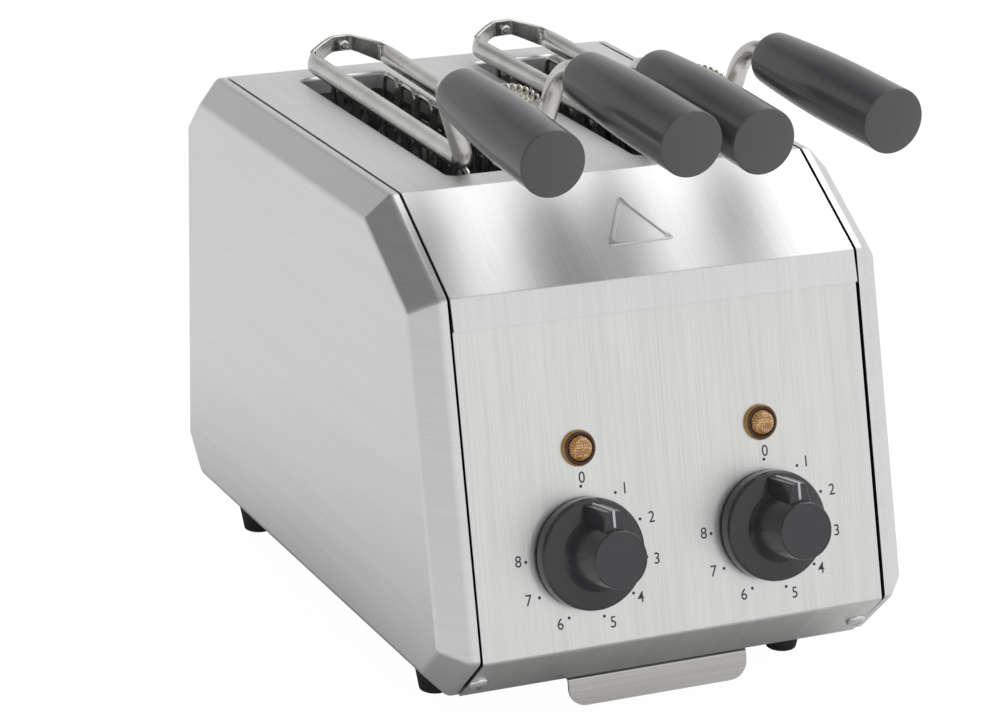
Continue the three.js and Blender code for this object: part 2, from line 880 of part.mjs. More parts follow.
function reflector(name, side) {
  const x = side * (elementBankX + reflectorBehindElement);
  const y0 = frontBulkheadY + sheet + gap;
  const y1 = rearBulkheadY - gap;
  const [x0, x1] = side < 0 ? [x - sheet, x] : [x, x + sheet];
  const [h0, h1] = side < 0 ? [x, x + reflectorHood] : [x - reflectorHood, x];
  const top = bodyHeight - reflectorTopInset;
  const plate = box(x0, x1, y0, y1, lining, top);
  const hood = box(h0, h1, y0, y1, top - sheet, top);
  return piece(name, plate.add(hood), brightSteel);
}

// Heating elements: a quartz tube with a ceramic cap outside each bulkhead.
function element(name, x, z) {
  const front = frontBulkheadY - gap - elementCapLength;
  const rear = rearBulkheadY + sheet + gap;
  const tube = rod(elementRadius, point(x, front, z), point(x, rear + elementCapLength, z), 12);
  const caps = [front, rear].map((y) => rod(
    elementCapRadius,
    point(x, y, z),
    point(x, y + elementCapLength, z),
    12,
  ));
  return piece(`${name}_element`, joined([tube, ...caps]), quartz);
}

// Tongs. Each is drawn about its rivet, with the arms running forward.
const lean = THREE.MathUtils.degToRad(riserLean);
const splay = THREE.MathUtils.degToRad(handleSplay);
const dip = THREE.MathUtils.degToRad(handleDip);

function armPoints(side) {
  const foot = point(side * armSpreadFront, -armReach, -armDrop);
  const top = foot.clone().add(point(side * Math.sin(lean), 0, Math.cos(lean)).setLength(riserLength));
  const run = point(side * Math.sin(splay), -Math.cos(splay) * Math.cos(dip), -Math.sin(dip));
  const handle = top.clone().addScaledVector(run, handleStart);
  return { foot, top, run, handle };
}

function strapLevel(side) {
  return side * (strapThickness + gap) / 2;
}

// The pressed end of an arm, seen from above: it slants inwards from the tube
// to a flat that laps over its twin's at the rivet, and climbs on the way.
function strapOutline(side) {
  const level = strapLevel(side);
  const half = strapThickness / 2;
  const corners = [
    point(side * armSpreadRear, -strapRun, 0),
    point(side * armSpreadRear, -strapShoulder, 0),
    point(side * strapFlat, level, 0),
    point(-side * strapEnd, level, 0),
  ];
  const radii = [strapRounding, strapRounding];
  const line = rounded(corners, radii, 3).map(({ x, y }) => [x, y]);
  return folded(shifted(line, -half, false), strapThickness);
}

function arm(name, side) {
  const { foot, top, run: aim, handle } = armPoints(side);
  const level = strapLevel(side);
  const start = point(side * armSpreadRear, -strapRun, -armDrop);
  const end = handle.clone().addScaledVector(aim, handleBoreDepth - gap);
  const line = rounded([start, foot, top, end], [elbowRadius, riserBend], 4);
  const tube = solid(wire(line, armRadius, 10));
  const knuckle = new THREE.SphereGeometry(armRadius, 10, 6);
  knuckle.rotateX(Math.PI / 2).translate(start.x, start.y, start.z);
  const strap = new THREE.ExtrudeGeometry(
    shapeOf(strapOutline(side)),
    { depth: strapWidth, bevelEnabled: false },
  );
  strap.translate(0, 0, -strapWidth / 2);
  const spots = strap.attributes.position;
  const slope = armDrop / (armSpreadRear - strapEnd);
  for (let i = 0; i < spots.count; i += 1) {
    const fall = Math.max(0, side * spots.getX(i) - strapEnd) * slope;
    spots.setZ(i, spots.getZ(i) - fall);
  }
  const hole = rod(rivetRadius + gap, point(0, -overrun, 0), point(0, overrun, 0), 16);
  const body = joined([tube, solid(knuckle), solid(strap)]).subtract(hole);
  return piece(name, body, tubeSteel);
}

function rivet(name) {
  const seat = strapThickness + gap / 2 + gap;
  const profile = [
    [0, -seat - rivetHeadHeight],
    [rivetHeadRadius * 0.55, -seat - rivetHeadHeight],
    [rivetHeadRadius, -seat - rivetHeadHeight * 0.4],
    [rivetHeadRadius, -seat],
    [rivetRadius, -seat],
    [rivetRadius, seat],
    [rivetHeadRadius, seat],
    [rivetHeadRadius, seat + rivetHeadHeight * 0.4],
    [rivetHeadRadius * 0.55, seat + rivetHeadHeight],
    [0, seat + rivetHeadHeight],
  ];
  return piece(name, turned(profile, point(0, 0, 0), point(0, 1, 0), 16), brightSteel);
}

function handle(name, side) {
  const place = armPoints(side);
  const bore = armRadius + gap;
  const profile = [
    [0, handleBoreDepth],
    [bore, handleBoreDepth],
    [bore, 0],
    [handleRearRadius - handleRounding, 0],
    [handleRearRadius, handleRounding],
    [handleFrontRadius, handleLength * handleTaperShare],
    [handleFrontRadius, handleLength - handleRounding / 2],
    [handleFrontRadius - handleRounding / 2, handleLength],
    [handleFrontRadius * handleDomeShare, handleLength + handleDome * handleDomeShare],
    [0, handleLength + handleDome],
  ];
  return piece(name, turned(profile, place.handle, place.run, 24), blackPlastic);
}

// A cage is a flat row of hairpin loops hung under its arm, with a single wire
// between each loop and the next. At rest the two cages of a tong lean together
// down to their toes. Opened round a sandwich they stand side by side.
const cageTop = -armDrop - armRadius - gap - cageWire;
const cageToe = cageTop - cageDepth;
const cageShoulder = armSpreadFront - cageInset;
const cageSlant = (cageShoulder - cageFootHalfGap) / cageDepth;
const cageLoops = Math.floor((armReach - cageStart) / cagePitch);
const cageMiddle = cageStart + cageLoops * cagePitch / 2;

// One leg of a loop, from its toe up to where its top corner begins.
function cageLeg(side, y) {
  return [
    point(side * cageFootHalfGap, y, cageToe),
    point(side * (cageShoulder - cageSlant * cageLoopCorner), y, cageTop - cageLoopCorner),
  ];
}

function cage(name, side) {
  const parts = [];
  const half = cageLoopWidth / 2;
  for (const middle of row(cageLoops, cagePitch, -cageMiddle)) {
    const far = [
      ...cageLeg(side, middle + half),
      point(side * cageShoulder, middle + half - cageLoopCorner, cageTop),
    ];
    const near = [
      ...cageLeg(side, middle - half),
      point(side * cageShoulder, middle - half + cageLoopCorner, cageTop),
    ];
    parts.push(solid(wire([...far, ...near.reverse()], cageWire, wireSides)));
  }
  for (const y of row(cageLoops - 1, cagePitch, -cageMiddle)) {
    const toe = point(side * cageFootHalfGap, y, cageToe);
    parts.push(rod(cageSingleWire, toe, point(side * cageShoulder, y, cageTop), wireSides));
  }
  const reach = (cageLoops * cagePitch - cagePitch + cageLoopWidth) / 2 + cageRail;
  const x = side * cageFootHalfGap;
  parts.push(rod(
    cageRail,
    point(x, reach - cageMiddle, cageToe),
    point(x, -reach - cageMiddle, cageToe),
    wireSides,
  ));
  return piece(name, joined(parts), wireSteel);
}

// The spring between the arms: a coil bent into an arch that pushes them apart.
function springPoints() {
  const riserMiddle = armSpreadFront + (springFootHeight + armDrop) * Math.tan(lean);
  const halfSpan = riserMiddle - (armRadius + springCoilRadius + springWire + gap) / Math.cos(lean);
  const radius = (halfSpan ** 2 + springRise ** 2) / (springRise * 2);
  const sweep = Math.asin(halfSpan / radius);
  const centreZ = springFootHeight + springRise - radius;
  const count = springCurls * springStepsPerCurl;
  const points = [];
  for (let i = 0; i <= count; i += 1) {
    const share = i / count;
    const angle = (share * 2 - 1) * sweep;
    const spin = (share - 0.5) * springCurls * Math.PI * 2;
    const out = radius + springCoilRadius * Math.cos(spin);
    points.push(point(
      out * Math.sin(angle),
      springCoilRadius * Math.sin(spin) - armReach,
      centreZ + out * Math.cos(angle),
    ));
  }
  return points;
}

// Each end of the wire runs straight for its own diameter, square to the riser.
function springLine() {
  const points = springPoints();
  for (const side of [-1, 1]) {
    const { foot } = armPoints(side);
    const along = point(side * Math.sin(lean), 0, Math.cos(lean));
    const square = point(side * Math.cos(lean), 0, -Math.sin(lean));
    const last = side < 0 ? points[0] : points[points.length - 1];
    const height = last.clone().sub(foot).dot(along) - springCoilRadius;
    const end = foot.clone().addScaledVector(along, height).addScaledVector(square, -armRadius - gap);
    const start = end.clone().addScaledVector(square, -springWire * 2);
    if (side < 0) {
      points.unshift(end, start);
    } else {
      points.push(start, end);
    }
  }
  return points;
}

function leastGap(points) {
  let least = Infinity;
  const skip = springStepsPerCurl / 2;
  for (let i = 0; i < points.length; i += 1) {
    for (let j = i + skip; j < points.length; j += 1) {
      least = Math.min(least, points[i].distanceTo(points[j]));
    }
  }
  return least - springWire * 2;
}

function spring(name) {
  const line = springLine();
  console.log(`${name}: least gap between its curls ${leastGap(line).toFixed(2)} mm`);
  return piece(name, solid(wire(line, springWire, springSides)), brightSteel);
}

function tong(word, index) {
  const group = new THREE.Group();
  const side = index ? 1 : -1;
  group.position.set(side * (slotCentre - pivotInset[index]), pivotY, pivotZ);
  group.rotation.order = 'ZXY';
  group.rotation.set(
    THREE.MathUtils.degToRad(tongPitch),
    THREE.MathUtils.degToRad(-tongRoll),
    THREE.MathUtils.degToRad(tongYaw[index]),
  );
  group.add(
    arm(`${word}_tong_arm_left`, -1),
    arm(`${word}_tong_arm_right`, 1),
    cage(`${word}_tong_cage_left`, -1),
    cage(`${word}_tong_cage_right`, 1),
    handle(`${word}_tong_handle_left`, -1),
    handle(`${word}_tong_handle_right`, 1),
    rivet(`${word}_tong_rivet`),
    spring(`${word}_tong_spring`),
  );
  return group;
}

// Guards: upright grilles on both sides of each slot, which keep the cages off
// the heating elements. Their rails run from bulkhead to bulkhead.
const pitchSine = Math.sin(THREE.MathUtils.degToRad(tongPitch));
const guardTopZ = bodyHeight - guardTopInset;
const guardFootZ = pivotZ + cageToe - cageRail - armReach * pitchSine - gap - guardWire;

function guard(name, side, wall) {
  const x = side * slotCentre + wall * guardHalfWidth;
  const middle = (frontBulkheadY + rearBulkheadY + sheet) / 2;
  const uprights = row(guardWires, guardPitch, middle).map((y) => rod(
    guardWire,
    point(x, y, guardFootZ),
    point(x, y, guardTopZ),
    wireSides,
  ));
  const railX = x + wall * guardWire * 1.5;
  const railLevels = [guardFootZ + guardWire, (guardFootZ + guardTopZ) / 2, guardTopZ - guardWire];
  const y0 = frontBulkheadY + sheet + gap;
  const y1 = rearBulkheadY - gap;
  const rails = railLevels.map((z) => rod(guardWire, point(railX, y0, z), point(railX, y1, z), wireSides));
  return piece(name, joined([...uprights, ...rails]), wireSteel);
}

// Rear panel: folded like the front one, with cooling slots and a cord gland.
const [, liningFoot, liningLow, liningHigh] = inner;
const rearLine = [
  [liningFoot[0] - rearFlange, liningFoot[1]],
  liningFoot,
  liningLow,
  towards(liningHigh, liningLow, rearLip - lapLength),
];
const [rearFaceY] = liningLow;

function rearPanel() {
  const skin = prismX(folded(rearLine, sheet), -centreHalf, centreHalf);
  const tools = [];
  for (let level = 0; level < ventRows; level += 1) {
    const z = bodyHeight - ventTopInset - ventLength - level * ventRowPitch;
    for (const x of row(ventColumns, ventPitch, 0)) {
      tools.push(box(
        x - ventWidth / 2,
        x + ventWidth / 2,
        rearFaceY - overrun,
        rearFaceY + overrun,
        z,
        z + ventLength,
      ));
    }
  }
  const through = (x, z, radius, sides) => rod(
    radius,
    point(x, rearFaceY - overrun, z),
    point(x, rearFaceY + overrun, z),
    sides,
  );
  tools.push(through(glandX, glandZ, glandThroat + gap, 20));
  for (const [x, z] of rearScrewPlaces) tools.push(through(x, z, screwShankRadius + gap, 12));
  return piece('rear_panel', cut(skin, tools), steel);
}

const rearScrewX = centreHalf - rearScrewInset;
const rearScrewHighZ = bodyHeight - rearScrewTopInset;
const rearScrewPlaces = [
  [-rearScrewX, rearScrewLowZ],
  [rearScrewX, rearScrewLowZ],
  [-rearScrewX, rearScrewHighZ],
  [rearScrewX, rearScrewHighZ],
];

function cordGland() {
  const profile = [
    [glandBore, -glandThread],
    [glandThroat, -glandThread],
    [glandThroat, gap],
    [glandRadius, gap],
    [glandRadius, glandLength / 2],
    [glandRadius * 0.8, glandLength * 0.9],
    [glandRadius * 0.7, glandLength],
    [glandBore, glandLength],
    [glandBore, -glandThread],
  ];
  const seat = point(glandX, rearFaceY, glandZ);
  const nutFront = point(glandX, rearFaceY - sheet - gap, glandZ);
  const nutBack = point(glandX, nutFront.y - glandNutThickness, glandZ);
  const nut = rod(glandNutRadius, nutBack, nutFront, 6);
  const thread = rod(glandThroat + gap, nutBack.clone().setY(nutBack.y - overrun), seat, 20);
  return [
    piece('cord_gland', turned(profile, seat, point(0, 1, 0), 20), blackPlastic),
    piece('cord_gland_nut', nut.subtract(thread), blackPlastic),
  ];
}

function terminalBlock() {
  const y0 = rearBulkheadY + sheet + gap;
  const x0 = -terminalWidth / 2;
  const z1 = terminalZ + terminalHeight;
  const body = box(x0, x0 + terminalWidth, y0, y0 + terminalDepth, terminalZ, z1);
  const holes = [];
  for (let way = 0; way < terminalWays; way += 1) {
    const x = x0 + terminalWidth * (way + 0.5) / terminalWays;
    const y = y0 + terminalDepth / 2;
    holes.push(rod(terminalHole, point(x, y, terminalZ - overrun), point(x, y, z1 + overrun), 8));
  }
  return piece('terminal_block', cut(body, holes), cream);
}

const toaster = new THREE.Group();
toaster.add(...sidePanels(), topCover(), frontPanel(), rearPanel(), basePlate(), crumbTray());
toaster.add(
  foot('front_left_foot', footFrontLeftInset - halfWidth, footFrontLeftY),
  foot('front_right_foot', halfWidth - footFrontRightInset, footFrontRightY),
  foot('rear_left_foot', footRearSideInset - halfWidth, bodyDepth - footRearInset),
  foot('rear_right_foot', halfWidth - footRearSideInset, bodyDepth - footRearInset),
);
toaster.add(bulkhead('front_bulkhead', frontBulkheadY, -1), bulkhead('rear_bulkhead', rearBulkheadY, 1));
toaster.add(reflector('left_reflector', -1), reflector('right_reflector', 1));
toaster.add(
  guard('left_outer_guard', -1, -1),
  guard('left_inner_guard', -1, 1),
  guard('right_inner_guard', 1, -1),
  guard('right_outer_guard', 1, 1),
);
for (const [name, x, z] of elementPlaces) toaster.add(element(name, x, z));
for (const [side, word] of [[-1, 'left'], [1, 'right']]) {
  toaster.add(...lamp(side, word), knob(side, word), ...timer(side, word));
  toaster.add(screw(
    `${word}_skirt_screw`,
    onSkirt(side * (halfWidth - screwSideInset), screwAlongSkirt, 0),
    skirtNormal,
    point(1, 0, 0),
    screwHeadRadius,
    screwHeadHeight,
    16,
  ));
}
rearScrewPlaces.forEach(([x, z], i) => toaster.add(screw(
  `rear_screw_${i + 1}`,
  point(x, rearFaceY, z),
  point(0, 1, 0),
  point(1, 0, 0),
  rearScrewHead,
  rearScrewHeadHeight,
  12,
)));
toaster.add(...cordGland(), terminalBlock());
['left', 'right'].forEach((word, index) => toaster.add(tong(word, index)));

// The toaster stands with its feet on Z 0, the origin under the middle of it.
toaster.updateMatrixWorld(true);
const extent = new THREE.Box3().setFromObject(toaster, true);
const group = new THREE.Group();
toaster.position.set(-(extent.min.x + extent.max.x) / 2, -(extent.min.y + extent.max.y) / 2, footHeight);
group.add(toaster);

export default group;
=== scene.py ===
# %% [markdown]
# # A two-slot sandwich toaster
# The toaster is a folded steel body with two sprung tongs standing in its slots. The solids come from the
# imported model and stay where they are. This file dresses them: it bends the sheet metal with real radii, runs
# the wires smooth, prints the dials, and gives each piece the finish that it has on the counter.

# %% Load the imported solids
import math

import bmesh
import bpy
from mathutils import Matrix, Vector


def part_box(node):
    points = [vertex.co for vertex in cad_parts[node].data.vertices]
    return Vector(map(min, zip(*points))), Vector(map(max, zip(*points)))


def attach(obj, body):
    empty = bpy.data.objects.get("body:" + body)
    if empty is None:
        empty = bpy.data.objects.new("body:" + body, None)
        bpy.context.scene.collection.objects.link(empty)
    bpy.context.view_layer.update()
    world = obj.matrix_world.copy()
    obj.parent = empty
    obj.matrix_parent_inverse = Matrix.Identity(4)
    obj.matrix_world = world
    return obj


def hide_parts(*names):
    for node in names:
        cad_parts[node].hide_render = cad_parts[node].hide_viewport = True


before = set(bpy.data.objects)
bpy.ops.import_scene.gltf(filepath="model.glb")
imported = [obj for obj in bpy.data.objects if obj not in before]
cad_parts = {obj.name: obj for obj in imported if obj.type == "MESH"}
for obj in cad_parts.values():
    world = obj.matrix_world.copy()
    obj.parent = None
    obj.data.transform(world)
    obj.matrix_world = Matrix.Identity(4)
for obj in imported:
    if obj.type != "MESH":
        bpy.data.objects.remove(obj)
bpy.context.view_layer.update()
bpy.ops.object.select_all(action="DESELECT")
print("solids loaded:", len(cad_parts))

# %% [markdown]
# ## Where things are
# The body was drawn in millimetres from its own front foot, so its sizes are given that way here too. A short
# function turns such a place into metres in the frame. Taking the frame's place from a side panel keeps the
# two together when the solids move.

# %% Places on the body
MM = 0.001
SIDES = (("left", -1), ("right", 1))
side_low, side_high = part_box("left_side_panel")
BODY = Vector((0, side_low.y, side_low.z))


def at(x, y, z):
    """A place given in the body's own millimetres, in metres in the frame."""
    return BODY + Vector((x, y, z)) * MM


def mm(x, y, z):
    return Vector((x, y, z)) * MM


def standing(place, x_axis, y_axis, z_axis):
    """A place with three directions as its axes."""
    return Matrix.Translation(place) @ Matrix((x_axis, y_axis, z_axis)).transposed().to_4x4()


print("front foot of the body stands at", [round(c, 4) for c in at(0, 0, 0)])

# %% [markdown]
# ## Camera
# A product photograph is taken with a long lens from a little above and to the left, so that the sides stay
# nearly parallel. The camera is turned about its own line of sight by a degree, as a hand-levelled tripod is.

# %% Camera
CAMERA_PLACE = at(-720.25, -1335.03, 663.64)
CAMERA_TARGET = at(-19.02, 150.18, 96.95)
CAMERA_ROLL = math.radians(1.22)
LENS = 140.42

sight = (CAMERA_TARGET - CAMERA_PLACE).normalized()
right = sight.cross(Vector((0, 0, 1))).normalized()
above = right.cross(sight)
turned_right = right * math.cos(CAMERA_ROLL) + above * math.sin(CAMERA_ROLL)
turned_above = above * math.cos(CAMERA_ROLL) - right * math.sin(CAMERA_ROLL)
lens = bpy.data.cameras.new("Camera")
lens.lens = LENS
lens.sensor_width = 36
lens.clip_start = 0.05
lens.clip_end = 50
camera = bpy.data.objects.new("Camera", lens)
bpy.context.scene.collection.objects.link(camera)
camera.matrix_world = standing(CAMERA_PLACE, turned_right, turned_above, -sight)
bpy.context.scene.camera = camera
print("camera is", round((CAMERA_TARGET - CAMERA_PLACE).length, 3), "m away")

# %% [markdown]
# ## Finishes written as sums
# A finish is a small web of nodes. Wrapping a socket in a class with plus, minus and times lets a finish be
# read as the sum that it is. Every other node comes from one method, which sets the node's own choices first
# and then fills its sockets.

# %% The shading helper


class Value:
    """A socket of a finish. Sums and products of values add their Math nodes."""

    tree = None

    def __init__(self, socket):
        self.socket = socket

    @classmethod
    def node(cls, kind, choices=None, values=None, out=0):
        """One node: its type, its settings, what its sockets hold, and the socket that comes out."""
        made = cls.tree.nodes.new(kind)
        for name, choice in (choices or {}).items():
            setattr(made, name, choice)
        for name, value in (values or {}).items():
            if isinstance(value, cls):
                cls.tree.links.new(value.socket, made.inputs[name])
            else:
                made.inputs[name].default_value = value
        return cls(made.outputs[out])

    def math(self, operation, first, second):
        return self.node("ShaderNodeMath", {"operation": operation}, {0: first, 1: second})

    def __add__(self, other):
        return self.math("ADD", self, other)

    def __radd__(self, other):
        return self.math("ADD", other, self)

    def __sub__(self, other):
        return self.math("SUBTRACT", self, other)

    def __rsub__(self, other):
        return self.math("SUBTRACT", other, self)

    def __mul__(self, other):
        return self.math("MULTIPLY", self, other)

    def __rmul__(self, other):
        return self.math("MULTIPLY", other, self)


def new_finish(name):
    material = bpy.data.materials.new(name)
    material.use_nodes = True
    Value.tree = material.node_tree
    return material


def surface(**values):
    """Fills sockets of the open finish's main shader; an underscore in a name stands for a space."""
    shader = Value.tree.nodes["Principled BSDF"]
    for name, value in values.items():
        socket = shader.inputs[name.replace("_", " ")]
        if isinstance(value, Value):
            Value.tree.links.new(value.socket, socket)
        else:
            socket.default_value = value


def place_on_piece(scale=(1, 1, 1)):
    """The piece's own place in metres, stretched so that a pattern runs along it."""
    here = Value.node("ShaderNodeTexCoord", out="Object")
    return Value.node("ShaderNodeMapping", values={"Vector": here, "Scale": scale})


def grain(scale, detail=2, roughness=0.5):
    """Noise from 0 to 1 with that many patches to the metre along X, Y and Z."""
    values = {"Vector": place_on_piece(scale), "Scale": 1, "Detail": detail, "Roughness": roughness}
    return Value.node("ShaderNodeTexNoise", values=values)


def between(mask, low, high):
    """A colour that goes from low to high as a mask goes from 0 to 1."""
    choices = {"data_type": "RGBA"}
    return Value.node("ShaderNodeMix", choices, {0: mask, 6: (*low, 1), 7: (*high, 1)}, out=2)


def step_between(value, low, high):
    """0 where a value is below low, 1 above high, and smooth between."""
    choices = {"interpolation_type": "SMOOTHSTEP"}
    return Value.node("ShaderNodeMapRange", choices, {0: value, 1: low, 2: high})


def relief(height, depth, strength=1.0):
    return Value.node("ShaderNodeBump", values={"Height": height, "Distance": depth, "Strength": strength})


print("the shading helper is ready")

# %% [markdown]
# ## Brushed steel
# Sheet steel for kitchens is rubbed in one direction with an abrasive belt, so its surface is thousands of
# fine scratches side by side. A photograph would do for them, but a noise stretched along the scratches stays
# sharp at any distance. A coarser noise adds the faint broad bands that the belt leaves, and a cloudy one the
# marks of wiping. The scratches feed colour, gloss and relief together.

# %% Brushed steel
FINE = 1500
COARSE = 130
ALONG = 14


def brushed_steel(name, across, dark, light, gloss, scratch=0.00001, metal=1.0):
    """Steel rubbed so that its scratches lie square to the axes named in across."""
    new = new_finish(name)
    fine = grain([FINE if axis in across else ALONG for axis in "XYZ"], 3, 0.7)
    broad = grain([COARSE if axis in across else ALONG / 2 for axis in "XYZ"], 2)
    cloud = grain((9, 9, 9), 3)
    mark = fine * 0.6 + broad * 0.25 + cloud * 0.15
    surface(
        Base_Color=between(step_between(mark, 0.32, 0.68), dark, light),
        Metallic=metal,
        Roughness=gloss + (fine - 0.5) * 0.10 + (cloud - 0.5) * 0.06,
        Normal=relief(fine, scratch),
    )
    return new


side_steel = brushed_steel("Side_steel", "Z", (0.725, 0.725, 0.72), (0.785, 0.785, 0.78), 0.38, 0.000004)
cover_steel = brushed_steel("Cover_steel", "X", (0.76, 0.76, 0.755), (0.85, 0.85, 0.85), 0.40, 0.00002, 0.75)
panel_steel = brushed_steel("Front_steel", "X", (0.68, 0.68, 0.67), (0.79, 0.79, 0.78), 0.34)
tray_steel = brushed_steel("Tray_steel", "Z", (0.50, 0.49, 0.47), (0.62, 0.61, 0.59), 0.30)
print("brushed finishes:", side_steel.name, cover_steel.name, panel_steel.name, tray_steel.name)

# %% [markdown]
# ## Plain metals
# The inner plates are mill-finished steel, dull and a little blotchy. The tong arms are drawn rod with a
# satin skin. Cage wires and guards have been heated many times, but their colour is set lighter than the
# arms': painted light, standing in for the glints and light that hardly reach them inside the slots. One
# function with a colour pair and a gloss covers them all, because they differ in nothing else.

# %% Plain metals


def plain_metal(name, dark, light, gloss, patch, pit=0.00002):
    new = new_finish(name)
    cloud = grain((patch, patch, patch), 4, 0.6)
    fine = grain((1800, 1800, 1800), 2)
    surface(
        Base_Color=between(step_between(cloud, 0.35, 0.65), dark, light),
        Metallic=1.0,
        Roughness=gloss + (cloud - 0.5) * 0.12,
        Normal=relief(fine, pit, 0.5),
    )
    return new


dull_steel = plain_metal("Inner_plate_steel", (0.34, 0.34, 0.34), (0.46, 0.46, 0.455), 0.45, 30)
mirror_steel = plain_metal("Reflector_steel", (0.55, 0.55, 0.54), (0.68, 0.68, 0.67), 0.22, 25)
arm_steel = plain_metal("Arm_steel", (0.58, 0.57, 0.545), (0.72, 0.71, 0.685), 0.27, 60)
# Painted light: the wires' colour is lighter than the arms', standing in for glints inside the dim slots.
wire_steel = plain_metal("Cage_wire_steel_painted_light", (0.62, 0.61, 0.59), (0.80, 0.79, 0.77), 0.17, 80)
screw_steel = plain_metal("Screw_steel", (0.72, 0.72, 0.71), (0.84, 0.84, 0.83), 0.2, 200)
spring_steel = plain_metal("Spring_steel", (0.62, 0.58, 0.50), (0.80, 0.77, 0.70), 0.2, 300)
print("plain metals ready")

# %% [markdown]
# ## Plastics and rubber
# The knobs are glossy moulded phenolic and the handles the same with a finer matt skin. Both are nearly
# black, and what is seen of them is mostly reflection, so the gloss and its small unevenness matter more than
# the colour. The handles' grey is set lighter than the knobs' as a painted sheen, so that they and their
# reflections in the slope read lighter. Rubber feet scatter the light instead.

# %% Plastics and rubber


def moulded(name, dark, light, gloss, patch, skin, skin_depth):
    new = new_finish(name)
    cloud = grain((patch, patch, patch), 3)
    fine = grain((skin, skin, skin), 2)
    surface(
        Base_Color=between(cloud, dark, light),
        Roughness=gloss + (cloud - 0.5) * 0.08 + (fine - 0.5) * 0.04,
        Normal=relief(fine, skin_depth, 0.4),
        IOR=1.5,
    )
    return new


knob_plastic = moulded("Knob_plastic", (0.046, 0.047, 0.051), (0.058, 0.059, 0.064), 0.16, 40, 900, 0.00001)
# Painted sheen: the handles' colour is lighter than the knobs', standing in for the soft light that they
# reflect.
handle_plastic_painted_sheen = moulded(
    "Handle_plastic_painted_sheen", (0.095, 0.096, 0.101), (0.112, 0.113, 0.119), 0.19, 35, 1400, 0.00001
)
rubber = moulded("Foot_rubber", (0.020, 0.020, 0.022), (0.034, 0.034, 0.036), 0.7, 60, 1100, 0.00003)
gland_plastic = moulded("Gland_plastic", (0.018, 0.018, 0.019), (0.028, 0.028, 0.03), 0.42, 50, 1000, 0.00002)
cream_plastic = moulded("Terminal_plastic", (0.52, 0.47, 0.36), (0.62, 0.57, 0.45), 0.5, 70, 800, 0.00002)
quartz = moulded("Quartz_tube", (0.62, 0.60, 0.57), (0.74, 0.72, 0.69), 0.3, 45, 600, 0.00001)
print("plastics ready")

# %% [markdown]
# ## Print, lamps
# The numbers are screen-printed in dark grey ink. The pointer's line is white paint in a groove. The lamps
# are amber lenses with a ring of small prisms moulded inside, in a brown bezel. The prisms are a relief; the
# light and dark dots that they show are painted glints and painted shade in the lens colour.

# %% Print and lamp finishes
ink = new_finish("Dial_ink")
specks = grain((2500, 2500, 2500), 2)
surface(Base_Color=between(specks, (0.045, 0.045, 0.05), (0.075, 0.075, 0.08)), Roughness=specks * 0.1 + 0.5)

line_paint = new_finish("Pointer_paint")
specks = grain((1500, 1500, 1500), 2)
surface(Base_Color=between(specks, (0.70, 0.72, 0.78), (0.80, 0.82, 0.88)), Roughness=specks * 0.1 + 0.4)

lamp_glass = new_finish("Lamp_lens")
cells = Value.node(
    "ShaderNodeTexVoronoi",
    values={"Vector": place_on_piece((950, 950, 950)), "Scale": 1.0, "Randomness": 0.35},
)
# Painted glints and painted shade: light and dark dots in the lens colour stand in for light thrown back by the
# prisms.
painted_glints = step_between(cells, 0.30, 0.55)
surface(
    Base_Color=between(painted_glints, (1.0, 0.62, 0.20), (0.46, 0.19, 0.05)),
    Roughness=painted_glints * 0.1 + 0.1,
    Coat_Weight=1.0,
    Coat_Roughness=0.04,
    Normal=relief(cells, 0.0004, 0.6),
)

bezel_plastic = moulded("Lamp_bezel", (0.045, 0.018, 0.008), (0.085, 0.034, 0.012), 0.18, 200, 900, 0.00001)
amber_rim = moulded("Lamp_rim", (0.42, 0.20, 0.05), (0.62, 0.34, 0.10), 0.2, 300, 900, 0.00001)
print("print and lamp finishes ready")

# %% [markdown]
# ## Working on a mesh
# Each new piece starts from a primitive, which is put in place and opened for editing. Its faces and edges
# are then picked by where they are, as a hand would click on them, and an operator is run on what is picked.
# When the piece is closed its edges are smoothed by angle, and weighted normals keep its flat faces flat.

# %% Editing helpers


def open_piece(name):
    """Names the primitive just added, puts its place in its mesh and opens it."""
    piece = bpy.context.object
    piece.name = piece.data.name = name
    bpy.ops.object.transform_apply(location=True, rotation=True, scale=True)
    bpy.ops.object.mode_set(mode="EDIT")
    bpy.ops.mesh.select_all(action="SELECT")
    return piece


def pick(kind, test):
    """Selects the faces, edges or points of the open mesh that pass a test, and counts them."""
    bpy.ops.mesh.select_mode(type=kind)
    bpy.ops.mesh.select_all(action="DESELECT")
    mesh = bmesh.from_edit_mesh(bpy.context.object.data)
    parts = {"FACE": mesh.faces, "EDGE": mesh.edges, "VERT": mesh.verts}[kind]
    chosen = [part for part in parts if test(part)]
    for part in chosen:
        part.select_set(True)
    bmesh.update_edit_mesh(bpy.context.object.data)
    return len(chosen)


def push(by):
    """Extrudes what is picked."""
    bpy.ops.mesh.extrude_region_move(TRANSFORM_OT_translate={"value": by})


def block(name, middle, size):
    """A box, open for editing, from its middle in the frame and its size in millimetres."""
    bpy.ops.mesh.primitive_cube_add(size=1, location=middle, scale=Vector(size) * MM)
    return open_piece(name)


def turn_outwards():
    """Turns all faces of the open piece outwards."""
    bpy.ops.mesh.select_all(action="SELECT")
    bpy.ops.mesh.normals_make_consistent(inside=False)


def fill_ends():
    """Closes the open rings of the open piece."""
    bpy.ops.mesh.select_mode(type="EDGE")
    bpy.ops.mesh.select_all(action="DESELECT")
    bpy.ops.mesh.select_non_manifold()
    bpy.ops.mesh.fill_holes(sides=0)
    turn_outwards()


